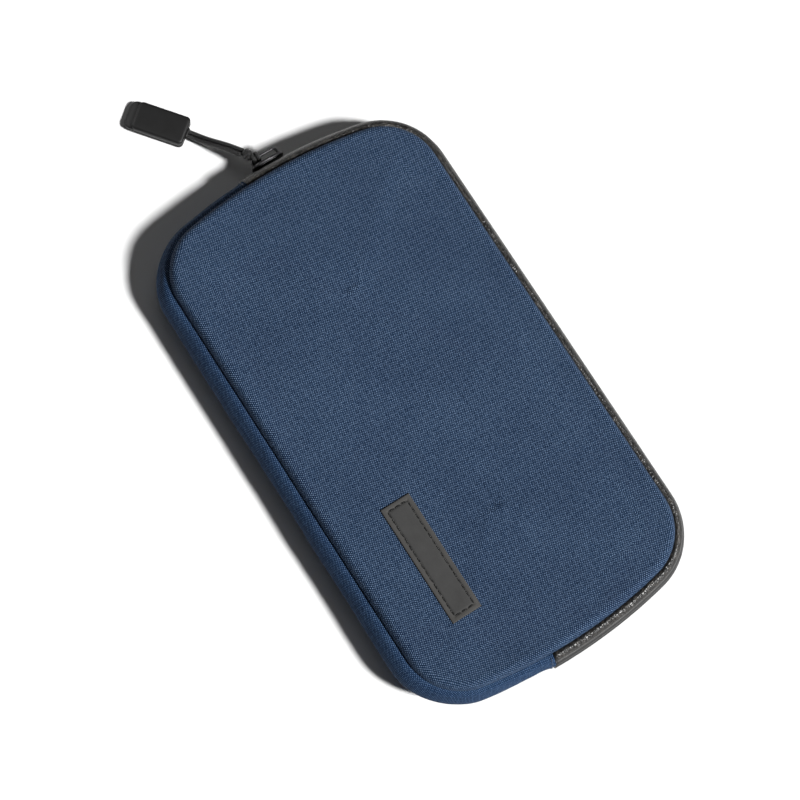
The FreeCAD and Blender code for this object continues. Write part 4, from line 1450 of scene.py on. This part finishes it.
def ring_round(centre, axis, radius, tube_radius, count=28, sides=12):
    """A torus, as rings of points and their coordinates along and round the tube."""
    side = axis.orthogonal().normalized()
    up = axis.cross(side).normalized()
    line = [centre + side * (radius * math.cos(a)) + up * (radius * math.sin(a))
            for a in round_angles(count)]
    return tube_rings(line, tube_radius, sides, axis, looped=True)


def make_knot():
    """Two turns of cord round the bail's bar, and the wrapped knot that they run into."""
    low, high = box_of("pull_knot")
    bail_high = box_of("slider_bail")[1]
    strand = CORD_DIAMETER / 2
    bar = Vector((high.x - strand, bail_high.y - 0.6 * MM, MID))
    knot = Vector((low.x + 2.1 * MM, high.y - 2.1 * MM, MID))
    parts = []
    for shift, lean in ((-0.97 * MM, 0.03), (0.97 * MM, -0.03)):
        axis = Vector((1, lean, 0.1 * lean)).normalized()
        parts.append(ring_round(bar + ALONG_X * shift, axis, 1.66 * MM, strand))
    along = (cord_line[1] - cord_line[0]).normalized()
    turned = (along + Vector((0.35, 0.1, 0.25))).normalized()
    for step_along, radius in ((-1.25, 1.15), (0.15, 1.45), (1.45, 1.1)):
        centre = knot + turned * (step_along * MM)
        parts.append(ring_round(centre, turned, radius * MM, strand * 0.92))
    over = Vector((0.5, -0.2, 0.85)).normalized()
    parts.append(ring_round(knot - over * 0.1 * MM, along.cross(over).normalized(),
                            1.75 * MM, strand * 0.85))
    obj = loft_parts("pull_knot_wraps", parts, looped=True)
    place(obj, "knot", CORD, "cord", "pull_knot")


TAB_TURN = math.radians(4.5)  # the tab's turn from the cord's last stretch


def make_tab():
    """A moulded tab: crowned top, a parting line round its sides and a thin lip at the end."""
    start, end = Vector(CORD_ROUTE[-2]) * MM, Vector(CORD_ROUTE[-1]) * MM
    forward = Vector((end.x - start.x, end.y - start.y, 0)).normalized()
    forward.rotate(Matrix.Rotation(TAB_TURN, 3, "Z"))
    side = Vector((forward.y, -forward.x, 0))
    length, half_width, thick = 26.8, 6.5, 5.5
    lip_length, lip_top = 3.9, 4.0
    part = thick * 0.42

    def rings(from_y, to_y, corner, levels):
        """Rounded rectangles from y to y, at levels of (height, inset). All in millimetres."""
        result = []
        for z, inset in levels:
            outline = rounded_outline(half_width - inset, (to_y - from_y) / 2 - inset,
                                      max(corner - inset, 0.3))
            ring = []
            for x, from_middle in outline:
                y = (from_y + to_y) / 2 + from_middle
                flat = start + side * (x * MM) + forward * (y * MM)
                crown_z = 0.12 * (1 - (x / half_width) ** 2) if z > thick / 2 else 0
                past = max(0, (y - length + lip_length) / lip_length)
                slope = 1 - 0.42 * past ** 1.6
                ring.append(Vector((flat.x, flat.y, (z * slope + crown_z) * MM)))
            result.append(ring)
        return result

    base = [(0, 0.7), (0.12, 0.35), (0.5, 0.05), (0.9, 0)]
    seam = [(part - 0.18, 0), (part - 0.08, 0.16), (part + 0.08, 0.16), (part + 0.18, 0)]
    crown_edge = [(thick - 0.9, 0.02), (thick - 0.45, 0.18), (thick - 0.15, 0.5),
                  (thick, 0.95), (thick + 0.02, 1.6), (thick + 0.03, 3.2)]
    lip_edge = [(lip_top - 0.5, 0.03), (lip_top - 0.15, 0.25), (lip_top, 0.7), (lip_top, 1.4)]
    inner = [(z + 0.06, inset + 0.06) for z, inset in base + seam + lip_edge]
    body = rings(0, length - lip_length, 2.0, base + seam + crown_edge)
    lip = rings(length - 3.2 * lip_length, length, 3.4, inner)
    obj = loft_parts("pull_tab_moulding", [(body, None), (lip, None)])
    place(obj, "pull", RUBBER, "tab_rubber", "pull_tab")
    collar = rounded_outline(2.5 * MM, 1.45 * MM, 1.2 * MM)
    collar_rings = [[start + side * (x * grow) + forward * (y * MM) + UP * (z * grow)
                     for x, z in collar]
                    for y, grow in ((-0.9, 0.72), (-0.75, 0.92), (-0.4, 1.0), (0.4, 1.05))]
    place(loft("pull_tab_collar", collar_rings), "pull", RUBBER, "tab_rubber")
    return obj


def finish_metal():
    """The bail's CAD shape stays, with the slider's finish."""
    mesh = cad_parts["slider_bail"].data
    add_cloth_coords(mesh, [v.co for v in mesh.vertices])
    mesh.materials.clear()
    mesh.materials.append(METAL)
    shade_smooth(mesh)


# ---- make it all

make_studio()
make_back()
front_shell = make_front()
front_height_at = surface_finder(front_shell)
make_layers()
make_gusset()
make_zip_side()
make_coils()
make_end_tabs()
make_bindings()
make_stops()
make_pockets()
make_pen_loop()
make_net()
make_label(front_height_at)
make_slider()
make_knot()
tab = make_tab()
finish_metal()
tuple(cord_line[0])
[tuple(p) for p in cord_line]
